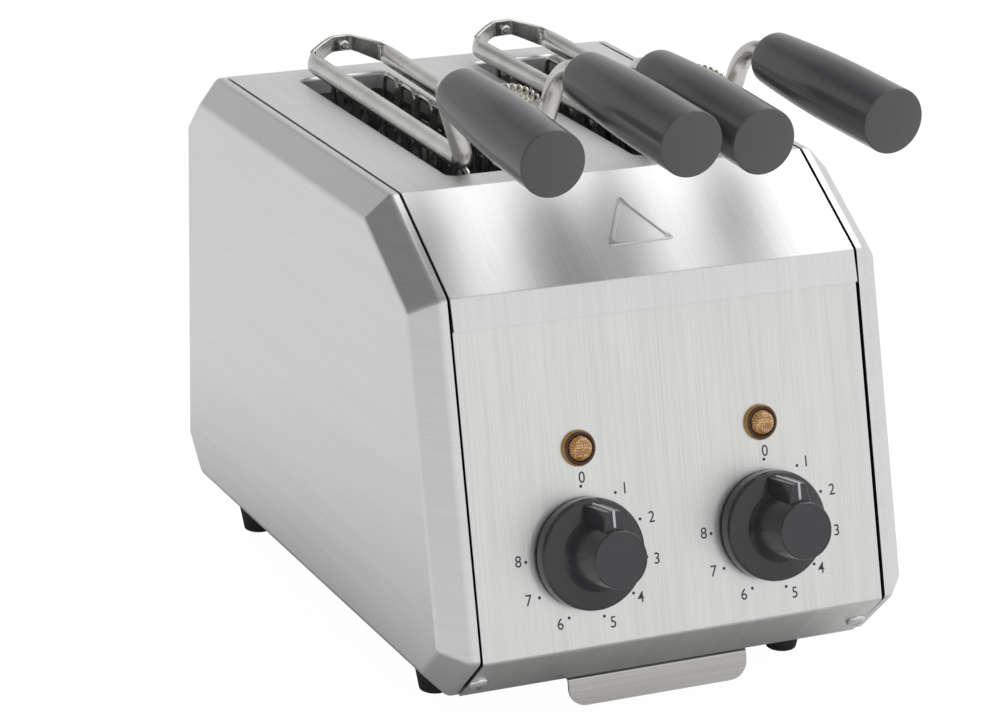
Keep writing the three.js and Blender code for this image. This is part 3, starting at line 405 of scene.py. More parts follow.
def as_one(name, parts):
    """Joins finished parts into the first of them."""
    bpy.ops.object.select_all(action="DESELECT")
    for part in parts:
        part.select_set(True)
    bpy.context.view_layer.objects.active = parts[0]
    bpy.ops.object.join()
    parts[0].name = name
    return parts[0]


def change(piece, kind, **settings):
    """Leaves edit mode, adds a modifier and applies it."""
    bpy.ops.object.mode_set(mode="OBJECT")
    modifier = piece.modifiers.new(kind.title(), kind)
    for name, setting in settings.items():
        setattr(modifier, name, setting)
    bpy.ops.object.modifier_apply(modifier=modifier.name)


def close_piece(piece, angle=35):
    """Leaves edit mode, smooths the shading and keeps flat faces flat."""
    bpy.ops.object.mode_set(mode="OBJECT")
    bpy.ops.object.shade_smooth_by_angle(angle=math.radians(angle))
    change(piece, "WEIGHTED_NORMAL", keep_sharp=True)
    return piece


def dress(piece, finish, body, slot, *nodes):
    """Gives a piece its finish, the body that it rides on, and the solids that it stands for."""
    if finish is not None:
        piece.data.materials.clear()
        piece.data.materials.append(finish)
    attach(piece, body)
    if nodes:
        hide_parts(*nodes)
    bpy.ops.object.select_all(action="DESELECT")
    return piece


def near(a, b, slack=0.02):
    """True where two lengths in metres agree to a fiftieth of a millimetre."""
    return abs(a - b) < slack * MM


def on_line(edge, y, z):
    """True for an edge that runs along X through a place in the side view."""
    spot = at(0, y, z)
    return all(near(v.co.y, spot.y) and near(v.co.z, spot.z) for v in edge.verts)


print("editing helpers ready")

# %% [markdown]
# ## Side panels
# Each side is a pan: a flat face whose edge is folded in all round to a slanting chamfer and then a narrow
# rim. Starting from a block, the corners of the side view are sawn off, the outer face is inset and raised in
# one step, which makes the chamfer, and the inner face is taken away. Bevelled bends and a sheet thickness
# turn it into metal.

# %% Side panels
BODY_DEPTH = 312
TOP = 200.6
REAR_CUT = 21
SLOPE_HEAD = (90, TOP)
SLOPE_FOOT = (39.5, 169.6)
FRONT_FOOT_Z = 24
SIDE_VIEW = [
    (24.3, 0), (BODY_DEPTH - REAR_CUT, 0), (BODY_DEPTH, REAR_CUT), (BODY_DEPTH, TOP - REAR_CUT),
    (BODY_DEPTH - REAR_CUT, TOP), SLOPE_HEAD, SLOPE_FOOT, (0, FRONT_FOOT_Z),
]
HALF_WIDTH = 110
RIM = 95.8
CHAMFER_WIDTH = 10.8
CHAMFER_DEPTH = 10.7
PANEL_BEND_RADIUS = 1.5
SHEET = 1.0


def saw(corner, other):
    """Cuts off what lies outside the line from one corner of the side view to the next."""
    outward = Vector((0, other[1] - corner[1], corner[0] - other[0])).normalized()
    bpy.ops.mesh.select_all(action="SELECT")
    bpy.ops.mesh.bisect(plane_co=at(0, *corner), plane_no=outward, use_fill=True, clear_outer=True)


def side_panel(name, side):
    inner, outer = RIM, HALF_WIDTH - CHAMFER_DEPTH
    middle = at(side * (inner + outer) / 2, BODY_DEPTH / 2, TOP / 2)
    piece = block(name, middle, (outer - inner, BODY_DEPTH, TOP))
    for corner, other in zip(SIDE_VIEW, SIDE_VIEW[1:] + SIDE_VIEW[:1]):
        if corner[0] != other[0] and corner[1] != other[1]:
            saw(corner, other)
    pick("FACE", lambda face: face.normal.x * side > 0.9)
    bpy.ops.mesh.inset(thickness=CHAMFER_WIDTH * MM, depth=CHAMFER_DEPTH * MM)
    pick("FACE", lambda face: face.normal.x * side < -0.9)
    bpy.ops.mesh.delete(type="FACE")
    bends = pick("EDGE", lambda edge: not edge.is_boundary)
    bpy.ops.mesh.bevel(offset=PANEL_BEND_RADIUS * MM, segments=4, affect="EDGES")
    change(piece, "SOLIDIFY", thickness=SHEET * MM, offset=-1, use_even_offset=True)
    print(name, "has", bends, "bends")
    return close_piece(piece)


for word, side in SIDES:
    panel = side_panel(f"{word}_side", side)
    dress(panel, side_steel, "chassis", "sheet_steel", f"{word}_side_panel")

# %% [markdown]
# ## Top cover
# One sheet is folded over the top and down the front slope to a lip. It starts as an edge that is drawn out
# along the side view, fold by fold. The slots are marked out with straight cuts, their faces removed, and
# their edges pushed down into collars, as a press would flange them. A sheet that is folded this way keeps
# its bends where the real one has them.

# %% Sheet folded along a line


def fold(name, line, half):
    """A strip from -half to half in X, folded along (y, z) places."""
    start = at(0, line[0][0], line[0][1])
    bpy.ops.mesh.primitive_plane_add(size=1, location=start)
    piece = bpy.context.object
    piece.scale = (2 * half * MM, 2 * MM, 1)
    open_piece(name)
    pick("VERT", lambda vert: vert.co.y > start.y)
    bpy.ops.mesh.delete(type="VERT")
    bpy.ops.mesh.select_all(action="SELECT")
    bpy.ops.transform.translate(value=(0, 1 * MM, 0))
    for (y0, z0), (y1, z1) in zip(line, line[1:]):
        push((0, (y1 - y0) * MM, (z1 - z0) * MM))
    return piece


def face_out(inside):
    """Turns the open sheet so that its faces look away from a place inside the body."""
    mesh = bmesh.from_edit_mesh(bpy.context.object.data)
    mesh.normal_update()
    lean = sum(face.normal.dot(face.calc_center_median() - inside) * face.calc_area() for face in mesh.faces)
    bpy.ops.mesh.select_all(action="SELECT")
    if lean < 0:
        bpy.ops.mesh.flip_normals()


def round_bends(line, radius):
    """Rounds every inner fold of a line, each with the cut-back that its angle needs."""
    for before, corner, after in zip(line, line[1:], line[2:]):
        first = Vector(corner) - Vector(before)
        second = Vector(after) - Vector(corner)
        cut_back = radius * math.tan(first.angle(second) / 2)
        pick("EDGE", lambda edge: on_line(edge, *corner))
        bpy.ops.mesh.bevel(offset=cut_back * MM, segments=5, affect="EDGES")


# %% Top cover
CENTRE_HALF = 94.4
COVER_HEM = 13
COVER_LIP = (34.8, 156.5)
COVER_LINE = [(BODY_DEPTH, TOP - REAR_CUT - COVER_HEM), *SIDE_VIEW[3:7], COVER_LIP]
COVER_BEND = 1.6
SLOT_CENTRE = 44.25
SLOT_HALF = 21
SLOT_FRONT = 107
SLOT_REAR = 275.5
SLOT_COLLAR = 8
SLOT_CORNER = 3
SLOT_ROLL = 1.8
PICK_MARGIN = 1
INSIDE = at(0, BODY_DEPTH / 2, TOP / 2)

cover = fold("cover", COVER_LINE, CENTRE_HALF)
for middle in (-SLOT_CENTRE, SLOT_CENTRE):
    for x in (middle - SLOT_HALF, middle + SLOT_HALF):
        bpy.ops.mesh.select_all(action="SELECT")
        bpy.ops.mesh.bisect(plane_co=at(x, 0, 0), plane_no=(1, 0, 0))
for y in (SLOT_FRONT, SLOT_REAR):
    bpy.ops.mesh.select_all(action="SELECT")
    bpy.ops.mesh.bisect(plane_co=at(0, y, 0), plane_no=(0, 1, 0))


def over_a_slot(face):
    middle = face.calc_center_median()
    across = abs(abs(middle.x) - SLOT_CENTRE * MM) < SLOT_HALF * MM
    return across and at(0, SLOT_FRONT, 0).y < middle.y < at(0, SLOT_REAR, 0).y


def slot_edge(edge):
    inside = all(abs(abs(v.co.x) - SLOT_CENTRE * MM) < (SLOT_HALF + PICK_MARGIN) * MM for v in edge.verts)
    return edge.is_boundary and inside and all(near(v.co.z, at(0, 0, TOP).z) for v in edge.verts)


def collar_corner(edge):
    first, second = (vert.co for vert in edge.verts)
    upright = near(first.x, second.x) and near(first.y, second.y)
    return upright and abs(first.z - second.z) > (SLOT_COLLAR - PICK_MARGIN) * MM


def collar_top(edge):
    level = all(near(v.co.z, at(0, 0, TOP).z) for v in edge.verts)
    return level and len(edge.link_faces) == 2 and abs(edge.calc_face_angle(0)) > 1.0


face_out(INSIDE)
pick("FACE", over_a_slot)
bpy.ops.mesh.delete(type="FACE")
print("slot edges:", pick("EDGE", slot_edge))
push((0, 0, -SLOT_COLLAR * MM))
pick("EDGE", collar_corner)
bpy.ops.mesh.bevel(offset=SLOT_CORNER * MM, segments=6, affect="EDGES")
pick("EDGE", collar_top)
bpy.ops.mesh.bevel(offset=SLOT_ROLL * MM, segments=5, affect="EDGES")
round_bends(COVER_LINE, COVER_BEND)
change(cover, "SOLIDIFY", thickness=SHEET * MM, offset=-1, use_even_offset=True)
close_piece(cover)
dress(cover, cover_steel, "chassis", "sheet_steel", "top_cover")
print("cover has", len(cover.data.polygons), "faces")

# %% [markdown]
# ## Front panel
# The front leans back with the side panels, tucks in behind the cover's lip and folds under at its foot to a
# skirt. It is folded the same way as the cover. Its holes are all covered by lamps, knobs and screws.

# %% Front panel
LEAN = math.atan2(SLOPE_FOOT[0], SLOPE_FOOT[1] - FRONT_FOOT_Z)
PANEL_BEND = (0.3, 22.9)
PANEL_TOP_Z = 157.7
PANEL_TOP = (PANEL_BEND[0] + (PANEL_TOP_Z - PANEL_BEND[1]) * math.tan(LEAN), PANEL_TOP_Z)
PANEL_HEM = 8
PANEL_LINE = [
    (PANEL_TOP[0] + PANEL_HEM, PANEL_TOP_Z), PANEL_TOP, PANEL_BEND, (PANEL_BEND[0] + PANEL_BEND[1], 0),
]
SKIRT_BEND = 1.8

front = fold("front", PANEL_LINE, CENTRE_HALF)
face_out(INSIDE)
round_bends(PANEL_LINE, SKIRT_BEND)
change(front, "SOLIDIFY", thickness=SHEET * MM, offset=-1, use_even_offset=True)
close_piece(front)
dress(front, panel_steel, "chassis", "sheet_steel", "front_panel")

PANEL_UP = Vector((0, math.sin(LEAN), math.cos(LEAN)))
PANEL_OUT = Vector((0, -math.cos(LEAN), math.sin(LEAN)))


def on_panel(x, up, out):
    """A place on the front panel: to the right, up the panel and out from it."""
    return at(x, *PANEL_BEND) + (PANEL_UP * up + PANEL_OUT * out) * MM


def panel_frame(x, up, out=0.0):
    """Axes on the front panel: X to the right, Y up the panel, Z out of it."""
    return standing(on_panel(x, up, out), (1, 0, 0), PANEL_UP, PANEL_OUT)


def set_down(piece, where):
    """Moves a finished mesh, drawn about the origin, to its place."""
    bpy.ops.object.select_all(action="DESELECT")
    piece.select_set(True)
    bpy.context.view_layer.objects.active = piece
    piece.matrix_world = where
    bpy.ops.object.transform_apply(location=True, rotation=True, scale=True)
    return piece


print("front panel leans", round(math.degrees(LEAN), 2), "degrees")

# %% [markdown]
# ## Round pieces
# Knobs, lamps, handles, feet and screws are all turned or moulded round. Each is drawn up from a disc: the
# top face is pushed up and scaled ring by ring along a profile, as a lathe follows a template. Chosen rings
# are then bevelled. The piece is drawn about the origin and set down where it belongs.

# %% Turned pieces


def turned(name, rings, sides=64):
    """A round piece from (radius, height) pairs in millimetres, closed at both ends."""
    radius, height = rings[0]
    bpy.ops.mesh.primitive_circle_add(
        vertices=sides, radius=radius * MM, fill_type="NGON", location=(0, 0, height * MM)
    )
    piece = open_piece(name)
    for (r0, h0), (r1, h1) in zip(rings, rings[1:]):
        push((0, 0, (h1 - h0) * MM))
        bpy.ops.transform.resize(value=(r1 / r0, r1 / r0, 1), center_override=(0, 0, h1 * MM))
    return piece


def soften(rings, offset, segments=4):
    """Bevels the rings of the open piece that stand at these (radius, height) places."""

    def on_ring(vert, radius, height):
        return near(vert.co.z, height * MM) and near(vert.co.xy.length, radius * MM, 0.05)

    def chosen(edge):
        return any(all(on_ring(vert, *ring) for vert in edge.verts) for ring in rings)

    pick("EDGE", chosen)
    bpy.ops.mesh.bevel(offset=offset * MM, segments=segments, affect="EDGES")


# %% [markdown]
# ## Knobs
# A knob has a broad thin skirt, a tapered boss to hold, and a fin that runs out to a pointer. The fin is a
# block whose sides are drawn in towards its tip; a boolean joins it to the turned body. A white line is
# painted over the end of the fin and along its crest, turned to the mark at zero.

# %% Knobs
DIAL_X = 43.15
DIAL_UP = 39.9
SKIRT_EDGE = (23.6, 7.8)
HUB_ROOT = (14.3, 12.4)
HUB_TOP = (12, 33)
KNOB_RINGS = [(22.8, 1), (23.6, 1.6), SKIRT_EDGE, (15.4, 10.2), HUB_ROOT, HUB_TOP]
KNOB_ROUNDS = ((SKIRT_EDGE, 1.4), (HUB_ROOT, 1.6), (HUB_TOP, 0.8))
HUB_SHOULDER = 30
HUB_RING = 0.5
HUB_SINK = 0.25
FIN = (14, 20.6, 22)
FIN_LIFT = 18.2
FIN_TIP_SHARE = 0.5
FIN_SLANT = 0.9
FIN_EDGE = 0.5
LINE_WIDTH = 1.1
LINE_PROUD = 0.1
LINE_END = (LINE_WIDTH, 0.7, 19.4)
LINE_END_LIFT = 20
LINE_FOOT_SLANT = 0.75
LINE_CREST = (LINE_WIDTH, 7.2, 0.5)
LINE_CREST_PLACE = (0, 16.6, 29.25)
LINE_EDGE = 0.08


def fin():
    """The pointer: a block with its outer end narrower than its root."""
    middle = mm(0, FIN[1] / 2, FIN_LIFT)
    piece = block("fin", middle, FIN)
    pick("FACE", lambda face: face.normal.y > 0.9)
    bpy.ops.transform.resize(value=(FIN_TIP_SHARE, 1, 1), center_override=mm(0, FIN[1], FIN_LIFT))
    pick("VERT", lambda vert: vert.co.y > middle.y and vert.co.z > middle.z)
    bpy.ops.transform.translate(value=mm(0, -FIN_SLANT, 0))
    pick("VERT", lambda vert: vert.co.y > middle.y and vert.co.z < middle.z)
    bpy.ops.transform.translate(value=mm(0, FIN_SLANT, 0))
    pick("EDGE", lambda edge: True)
    bpy.ops.mesh.bevel(offset=FIN_EDGE * MM, segments=3, affect="EDGES")
    bpy.ops.object.mode_set(mode="OBJECT")
    return piece


def knob(name, x):
    pointer = fin()
    piece = turned(name, KNOB_RINGS)
    for ring, round_by in KNOB_ROUNDS:
        soften([ring], round_by)
    pick("FACE", lambda face: face.normal.z > 0.9 and face.calc_center_median().z > HUB_SHOULDER * MM)
    bpy.ops.mesh.inset(thickness=HUB_RING * MM, depth=-HUB_SINK * MM)
    change(piece, "BOOLEAN", operation="UNION", object=pointer, solver="EXACT")
    bpy.data.objects.remove(pointer)
    close_piece(piece, 40)
    return set_down(piece, panel_frame(x, DIAL_UP))


def pointer_line(name, x):
    """The white line: down the end of the fin and along its crest."""
    middle = mm(0, FIN[1] + LINE_PROUD, LINE_END_LIFT)
    end = block("end", middle, LINE_END)
    pick("VERT", lambda vert: vert.co.z > middle.z)
    bpy.ops.transform.translate(value=mm(0, -FIN_SLANT, 0))
    pick("VERT", lambda vert: vert.co.z < middle.z)
    bpy.ops.transform.translate(value=mm(0, LINE_FOOT_SLANT, 0))
    bpy.ops.object.mode_set(mode="OBJECT")
    crest = block("crest", mm(*LINE_CREST_PLACE), LINE_CREST)
    bpy.ops.object.mode_set(mode="OBJECT")
    piece = as_one(name, [end, crest])
    bpy.ops.object.mode_set(mode="EDIT")
    pick("EDGE", lambda edge: True)
    bpy.ops.mesh.bevel(offset=LINE_EDGE * MM, segments=2, affect="EDGES")
    close_piece(piece)
    return set_down(piece, panel_frame(x, DIAL_UP))


for word, side in SIDES:
    body = f"{word}_knob"
    dress(knob(f"{word}_dial_knob", side * DIAL_X), knob_plastic, body, "black_plastic", body)
    dress(pointer_line(f"{word}_pointer_line", side * DIAL_X), line_paint, body, "black_plastic")
    print(word, "knob set on its panel")

# %% [markdown]
# ## Lamps
# Each lamp is an amber bezel that flares from the panel, a dark ring inside it and a shallow lens that is cut
# with facets. Modelling the rim, ring and lens as steps of one turned profile puts a bright edge where the
# real one catches the light.

# %% Lamps
LAMP_X = 42.8
LAMP_UP = 83.9
LAMP_RIM = [(7.7, 1.0), (6.9, 2.2)]
LAMP_RINGS = [(6.3, -18), (6.3, 0.05), (7.7, 0.05), *LAMP_RIM, (5.9, 2.4), (5.3, 1.4)]
LAMP_EDGE = 0.3
AMBER_FROM = 6.95
AMBER_UP_TO = 1.9
LENS_RINGS = [(5.25, 1.5), (5.25, 2.3), (4.7, 3.6), (3.6, 4.3), (1.8, 4.6)]
LENS_FACETS = 24


def lamp(word, x):
    where = panel_frame(x, LAMP_UP)
    rim = turned(f"{word}_lamp_bezel", LAMP_RINGS)
    soften(LAMP_RIM, LAMP_EDGE, 3)
    close_piece(rim, 30)
    set_down(rim, where)
    dress(rim, bezel_plastic, "chassis", "brown_plastic", f"{word}_lamp_body")
    rim.data.materials.append(amber_rim)
    reach = on_panel(x, LAMP_UP, 0)
    for face in rim.data.polygons:
        out = (face.center - reach).dot(PANEL_OUT) / MM
        along = ((face.center - reach) - PANEL_OUT * out * MM).length / MM
        face.material_index = 1 if along > AMBER_FROM and out < AMBER_UP_TO else 0
    lens = turned(f"{word}_lens", LENS_RINGS, LENS_FACETS)
    close_piece(lens, 12)
    set_down(lens, where)
    dress(lens, lamp_glass, "chassis", "amber_lens", f"{word}_lamp_lens")


for word, side in SIDES:
    lamp(word, side * LAMP_X)
print("lamps stand", LAMP_UP, "mm up the panel")

# %% [markdown]
# ## Dial print
# The numbers 0 to 8 and their dots are printed round each knob. The numbers are type set as text and turned
# to a mesh, lifted a few hundredths of a millimetre off the panel as real ink is. Modelled print stays crisp
# where a painted texture would blur.

# %% Dial print
DOT_CIRCLE = 28
DOT_RADIUS = 0.68
DIGIT_PLACES = [
    (0.8, 31.4), (20.0, 24.4), (31.3, 10.7), (32.1, -7.0), (23.1, -22.1),
    (9.4, -30.7), (-14.9, -28.1), (-28.3, -16.2), (-31.4, 0.4),
]
DIGIT_HEIGHT = 4.8
CAPITAL_SHARE = 0.7
DIGIT_WIDTH_SHARE = 0.92
STROKE_GROWTH = 0.03
INK_LIFT = 0.03
INK_DEPTH = 0.04
STEP_ANGLE = 33.75


def printed(name, x):
    parts = []
    for number, (across, up) in enumerate(DIGIT_PLACES):
        bpy.ops.object.text_add()
        digit = bpy.context.object
        digit.data.body = str(number)
        digit.data.size = DIGIT_HEIGHT * MM / CAPITAL_SHARE
        digit.data.align_x = "CENTER"
        digit.data.align_y = "CENTER"
        digit.data.extrude = INK_DEPTH / 2 * MM
        digit.data.offset = STROKE_GROWTH * MM
        bpy.ops.object.convert(target="MESH")
        narrow = Matrix.Diagonal((DIGIT_WIDTH_SHARE, 1, 1, 1))
        set_down(digit, panel_frame(x + across, DIAL_UP + up, INK_LIFT) @ narrow)
        parts.append(digit)
        angle = math.radians(STEP_ANGLE * number)
        bpy.ops.mesh.primitive_cylinder_add(vertices=20, radius=DOT_RADIUS * MM, depth=INK_DEPTH * MM)
        dot = bpy.context.object
        across, up = DOT_CIRCLE * math.sin(angle), DOT_CIRCLE * math.cos(angle)
        set_down(dot, panel_frame(x + across, DIAL_UP + up, INK_LIFT))
        parts.append(dot)
    return as_one(name, parts)


for word, side in SIDES:
    dress(printed(f"{word}_dial_print", side * DIAL_X), ink, "chassis", "black_plastic")
print("printed", len(DIGIT_PLACES), "numbers round each knob")

# %% [markdown]
# ## Pressed triangle
# The slope carries a plain triangle pressed up from the sheet. A three-sided circle is stretched to size, its
# corners rounded, and a narrow ring is kept and raised with soft edges, so that it reads as part of the
# pressing.

# %% Pressed triangle
SLOPE_ANGLE = math.atan2(TOP - SLOPE_FOOT[1], SLOPE_HEAD[0] - SLOPE_FOOT[0])
SLOPE_UP = Vector((0, math.cos(SLOPE_ANGLE), math.sin(SLOPE_ANGLE)))
SLOPE_OUT = Vector((0, -math.sin(SLOPE_ANGLE), math.cos(SLOPE_ANGLE)))
BEAD_BASE = 17.6
BEAD_TOP = 44.8
BEAD_HALF = 16
BEAD_CENTRE = 0.5
BEAD_WIDTH = 2.0
BEAD_HEIGHT = 0.55
BEAD_CORNER = 2.6
BEAD_EDGE = 0.5
UNIT_HALF_WIDTH = math.cos(math.radians(30))
UNIT_HEIGHT = 1.5


def raised_edge(edge):
    return all(vert.co.z > 0 for vert in edge.verts) and edge.calc_face_angle(0) > 1


bpy.ops.mesh.primitive_circle_add(vertices=3, radius=1, fill_type="NGON")
bead = bpy.context.object
bead.scale = (BEAD_HALF * MM / UNIT_HALF_WIDTH, (BEAD_TOP - BEAD_BASE) * MM / UNIT_HEIGHT, 1)
open_piece("slope_bead")
pick("VERT", lambda vert: True)
bpy.ops.mesh.bevel(offset=BEAD_CORNER * MM, segments=6, affect="VERTICES")
pick("FACE", lambda face: True)
bpy.ops.mesh.inset(thickness=BEAD_WIDTH * MM, depth=0)
bpy.ops.mesh.delete(type="FACE")
pick("FACE", lambda face: True)
push(mm(0, 0, BEAD_HEIGHT))
pick("EDGE", raised_edge)
bpy.ops.mesh.bevel(offset=BEAD_EDGE * MM, segments=4, affect="EDGES")
close_piece(bead, 50)
low = min(v.co.y for v in bead.data.vertices)
bead_place = at(BEAD_CENTRE, *SLOPE_FOOT) + SLOPE_UP * (BEAD_BASE * MM - low)
set_down(bead, standing(bead_place, (1, 0, 0), SLOPE_UP, SLOPE_OUT))
dress(bead, cover_steel, "chassis", "sheet_steel")
print("bead is", round(bead.dimensions.x / MM, 1), "mm wide")

# %% [markdown]
# ## Skirt screws
# Two pan-head screws hold the skirt. The head is a low dome turned ring by ring, with a cross recess cut by a
# boolean. Two crossed blocks make the cutter, as the driver's blades would.

# %% Skirt screws
SKIRT_DOWN = Vector((PANEL_BEND[1], -PANEL_BEND[1])).normalized()
SKIRT_DIRECTION = Vector((0, SKIRT_DOWN.x, SKIRT_DOWN.y))
SKIRT_OUT = Vector((0, SKIRT_DOWN.y, -SKIRT_DOWN.x))
SKIRT_SCREW_X = 90
SKIRT_SCREW_DOWN = 19.8
SKIRT_HEAD = (4.3, 2.2)
REAR_HEAD = (3.4, 1.8)
HEAD_LIFT = 0.05
HEAD_WALL_SHARE = 0.35
DOME_SHARES = (0.88, 0.7, 0.45, 0.2)
SHANK_SHARE = 0.45
SHANK_LENGTH = 6
BLADE = 0.9
BLADE_DEPTH = 2
BLADE_SPAN_SHARE = 1.1


def cross_screw(name, where, radius, height):
    """A low domed head with a cross in it, on a shank below the origin."""
    blades = []
    span = radius * BLADE_SPAN_SHARE
    for size in ((span, BLADE, BLADE_DEPTH), (BLADE, span, BLADE_DEPTH)):
        blades.append(block("blade", mm(0, 0, height), size))
        bpy.ops.object.mode_set(mode="OBJECT")
    shank = radius * SHANK_SHARE
    wall = height * HEAD_WALL_SHARE
    rings = [(shank, -SHANK_LENGTH), (shank, HEAD_LIFT), (radius, HEAD_LIFT), (radius, wall)]
    for share in DOME_SHARES:
        rise = HEAD_WALL_SHARE + (1 - HEAD_WALL_SHARE) * math.sqrt(1 - share**2)
        rings.append((radius * share, height * rise))
    piece = turned(name, rings, 40)
    for blade in blades:
        change(piece, "BOOLEAN", operation="DIFFERENCE", object=blade, solver="EXACT")
        bpy.data.objects.remove(blade)
    close_piece(piece, 40)
    return set_down(piece, where)


def facing(start, direction, spin=0.0):
    """Axes at a place with Z along a direction."""
    turn = direction.to_track_quat("Z", "Y").to_matrix().to_4x4()
    return Matrix.Translation(start) @ turn @ Matrix.Rotation(spin, 4, "Z")


for word, side in SIDES:
    seat = at(side * SKIRT_SCREW_X, *PANEL_BEND) + SKIRT_DIRECTION * SKIRT_SCREW_DOWN * MM
    head = cross_screw(f"{word}_screw", facing(seat, SKIRT_OUT, 0.5 * side), *SKIRT_HEAD)
    dress(head, screw_steel, "chassis", "bright_steel", f"{word}_skirt_screw")
rear_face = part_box("rear_panel")[1].y
for number in range(1, 5):
    low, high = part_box(f"rear_screw_{number}")
    seat = Vector(((low.x + high.x) / 2, rear_face, (low.z + high.z) / 2))
    head = cross_screw(f"back_screw_{number}", facing(seat, Vector((0, 1, 0)), number), *REAR_HEAD)
    dress(head, screw_steel, "chassis", "bright_steel", f"rear_screw_{number}")
print("six screws driven")

# %% [markdown]
# ## Crumb tray
# The tray is a shallow pan that slides in under the base. Its front runs out to a tab, folded down to a lip
# with round lower corners. The pan is a block with its top face removed; the lip is a folded strip whose
# corners are bevelled before both get their thickness.

# %% Crumb tray
TRAY_HALF = 65
TRAY_FRONT = 44
TRAY_REAR = 279
TRAY_FLOOR = -6.7
TRAY_TOP = -1.5
PAN_BEND = 1.2
TAB_HALF = 42.7
TAB_LINE = [(45, TRAY_TOP), (25.6, TRAY_TOP), (23.0, -14.0)]
TAB_CORNER = 8
TAB_BEND = 1.7
BEHIND_LIP = (0, 40, -10)

pan_middle = at(0, (TRAY_FRONT + TRAY_REAR) / 2, (TRAY_FLOOR + TRAY_TOP) / 2)
pan = block("tray_pan", pan_middle, (2 * TRAY_HALF, TRAY_REAR - TRAY_FRONT, TRAY_TOP - TRAY_FLOOR))
pick("FACE", lambda face: face.normal.z > 0.9)
bpy.ops.mesh.delete(type="FACE")
pick("EDGE", lambda edge: not edge.is_boundary)
bpy.ops.mesh.bevel(offset=PAN_BEND * MM, segments=3, affect="EDGES")
change(pan, "SOLIDIFY", thickness=SHEET * MM, offset=-1)

lip = fold("tray", TAB_LINE, TAB_HALF)
face_out(at(*BEHIND_LIP))
foot_z = at(0, 0, TAB_LINE[2][1]).z
pick("VERT", lambda vert: near(vert.co.z, foot_z))
bpy.ops.mesh.bevel(offset=TAB_CORNER * MM, segments=8, affect="VERTICES")
round_bends(TAB_LINE, TAB_BEND)
change(lip, "SOLIDIFY", thickness=SHEET * MM, offset=-1, use_even_offset=True)
close_piece(as_one("tray", [lip, pan]))
dress(lip, tray_steel, "crumb_tray", "sheet_steel", "crumb_tray")
print("tray lip hangs to", TAB_LINE[2][1], "mm")

# %% [markdown]
# ## Feet
# Four short rubber feet taper towards the counter. They are turned, with a soft lower edge and a recess for
# the screw that holds them.

# %% Feet
FOOT_RECESS = [(2.6, 2.0), (3.2, 0.001)]
FOOT_SOLE = (6.6, 0.0)
FOOT_TOP = (10.4, 18.7)
SOLE_ROUND = 0.9
FOOT_TOP_ROUND = 0.5

for name in ("front_left", "front_right", "rear_left", "rear_right"):
    low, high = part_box(f"{name}_foot")
    centre = Vector(((low.x + high.x) / 2, (low.y + high.y) / 2, low.z))
    foot = turned(f"{name}_rubber", [*FOOT_RECESS, FOOT_SOLE, FOOT_TOP])
    soften([FOOT_SOLE], SOLE_ROUND)
    soften([FOOT_TOP], FOOT_TOP_ROUND, 3)
    close_piece(foot, 40)
    set_down(foot, Matrix.Translation(centre))
    dress(foot, rubber, "chassis", "black_rubber", f"{name}_foot")
print("four feet stand on the floor")

# %% [markdown]
# ## Wires and rods
# A wire bender feeds the wire straight and turns it round a pin. The same two moves make it here: a ring is
# pushed along each straight and spun round the centre of each bend. The two open ends are then filled.

# %% Bent wire
BEND_STEP = 11
WELD_GAP = 0.001


def bent_wire(name, points, bends, radius, sides=12):
    """A round wire through places in metres, with a bend radius at each inner one."""
    first = (points[1] - points[0]).normalized()
    bpy.ops.mesh.primitive_circle_add(
        vertices=sides, radius=radius, location=points[0], rotation=first.to_track_quat("Z", "X").to_euler()
    )
    piece = open_piece(name)
    here = points[0]
    for corner, after, bend in zip(points[1:-1], points[2:], bends):
        on = (corner - here).normalized()
        off = (after - corner).normalized()
        angle = on.angle(off)
        axis = on.cross(off).normalized()
        setback = bend * math.tan(angle / 2)
        tangent = corner - on * setback
        push(tangent - here)
        steps = max(2, round(math.degrees(angle) / BEND_STEP))
        bpy.ops.mesh.spin(steps=steps, angle=-angle, center=tangent + axis.cross(on) * bend, axis=axis)
        here = corner + off * setback
    push(points[-1] - here)
    bpy.ops.mesh.select_all(action="SELECT")
    bpy.ops.mesh.remove_doubles(threshold=WELD_GAP * MM)
    fill_ends()
    bpy.ops.object.mode_set(mode="OBJECT")
    bpy.ops.object.shade_smooth_by_angle(angle=math.radians(40))
    return piece


def copy_of(piece, by):
    """A copy with its own mesh, moved."""
    twin = piece.copy()
    twin.data = piece.data.copy()
    twin.data.transform(Matrix.Translation(by))
    bpy.context.scene.collection.objects.link(twin)
    return twin


# %% [markdown]
# ## Guards in the chamber
# A row of upright wires on either side of each slot keeps the cages off the heating tubes. The wires are
# welded to three rails that run from one bulkhead to the other. One is drawn and copied along them.

# %% Guards
GUARD_TOP = 184
GUARD_FOOT = (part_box("left_outer_guard")[0].z - at(0, 0, 0).z) / MM
GUARD_HALF = 28.6
GUARD_WIRE = 1.5
GUARD_PITCH = 36
GUARD_POSTS = 5
GUARD_MIDDLE = 187.5
GUARD_RAIL_HALF = 92.2
GUARD_RAIL_OUT_SHARE = 1.5
GUARD_LEVELS = (GUARD_FOOT + GUARD_WIRE, (GUARD_FOOT + GUARD_TOP) / 2, GUARD_TOP - GUARD_WIRE)

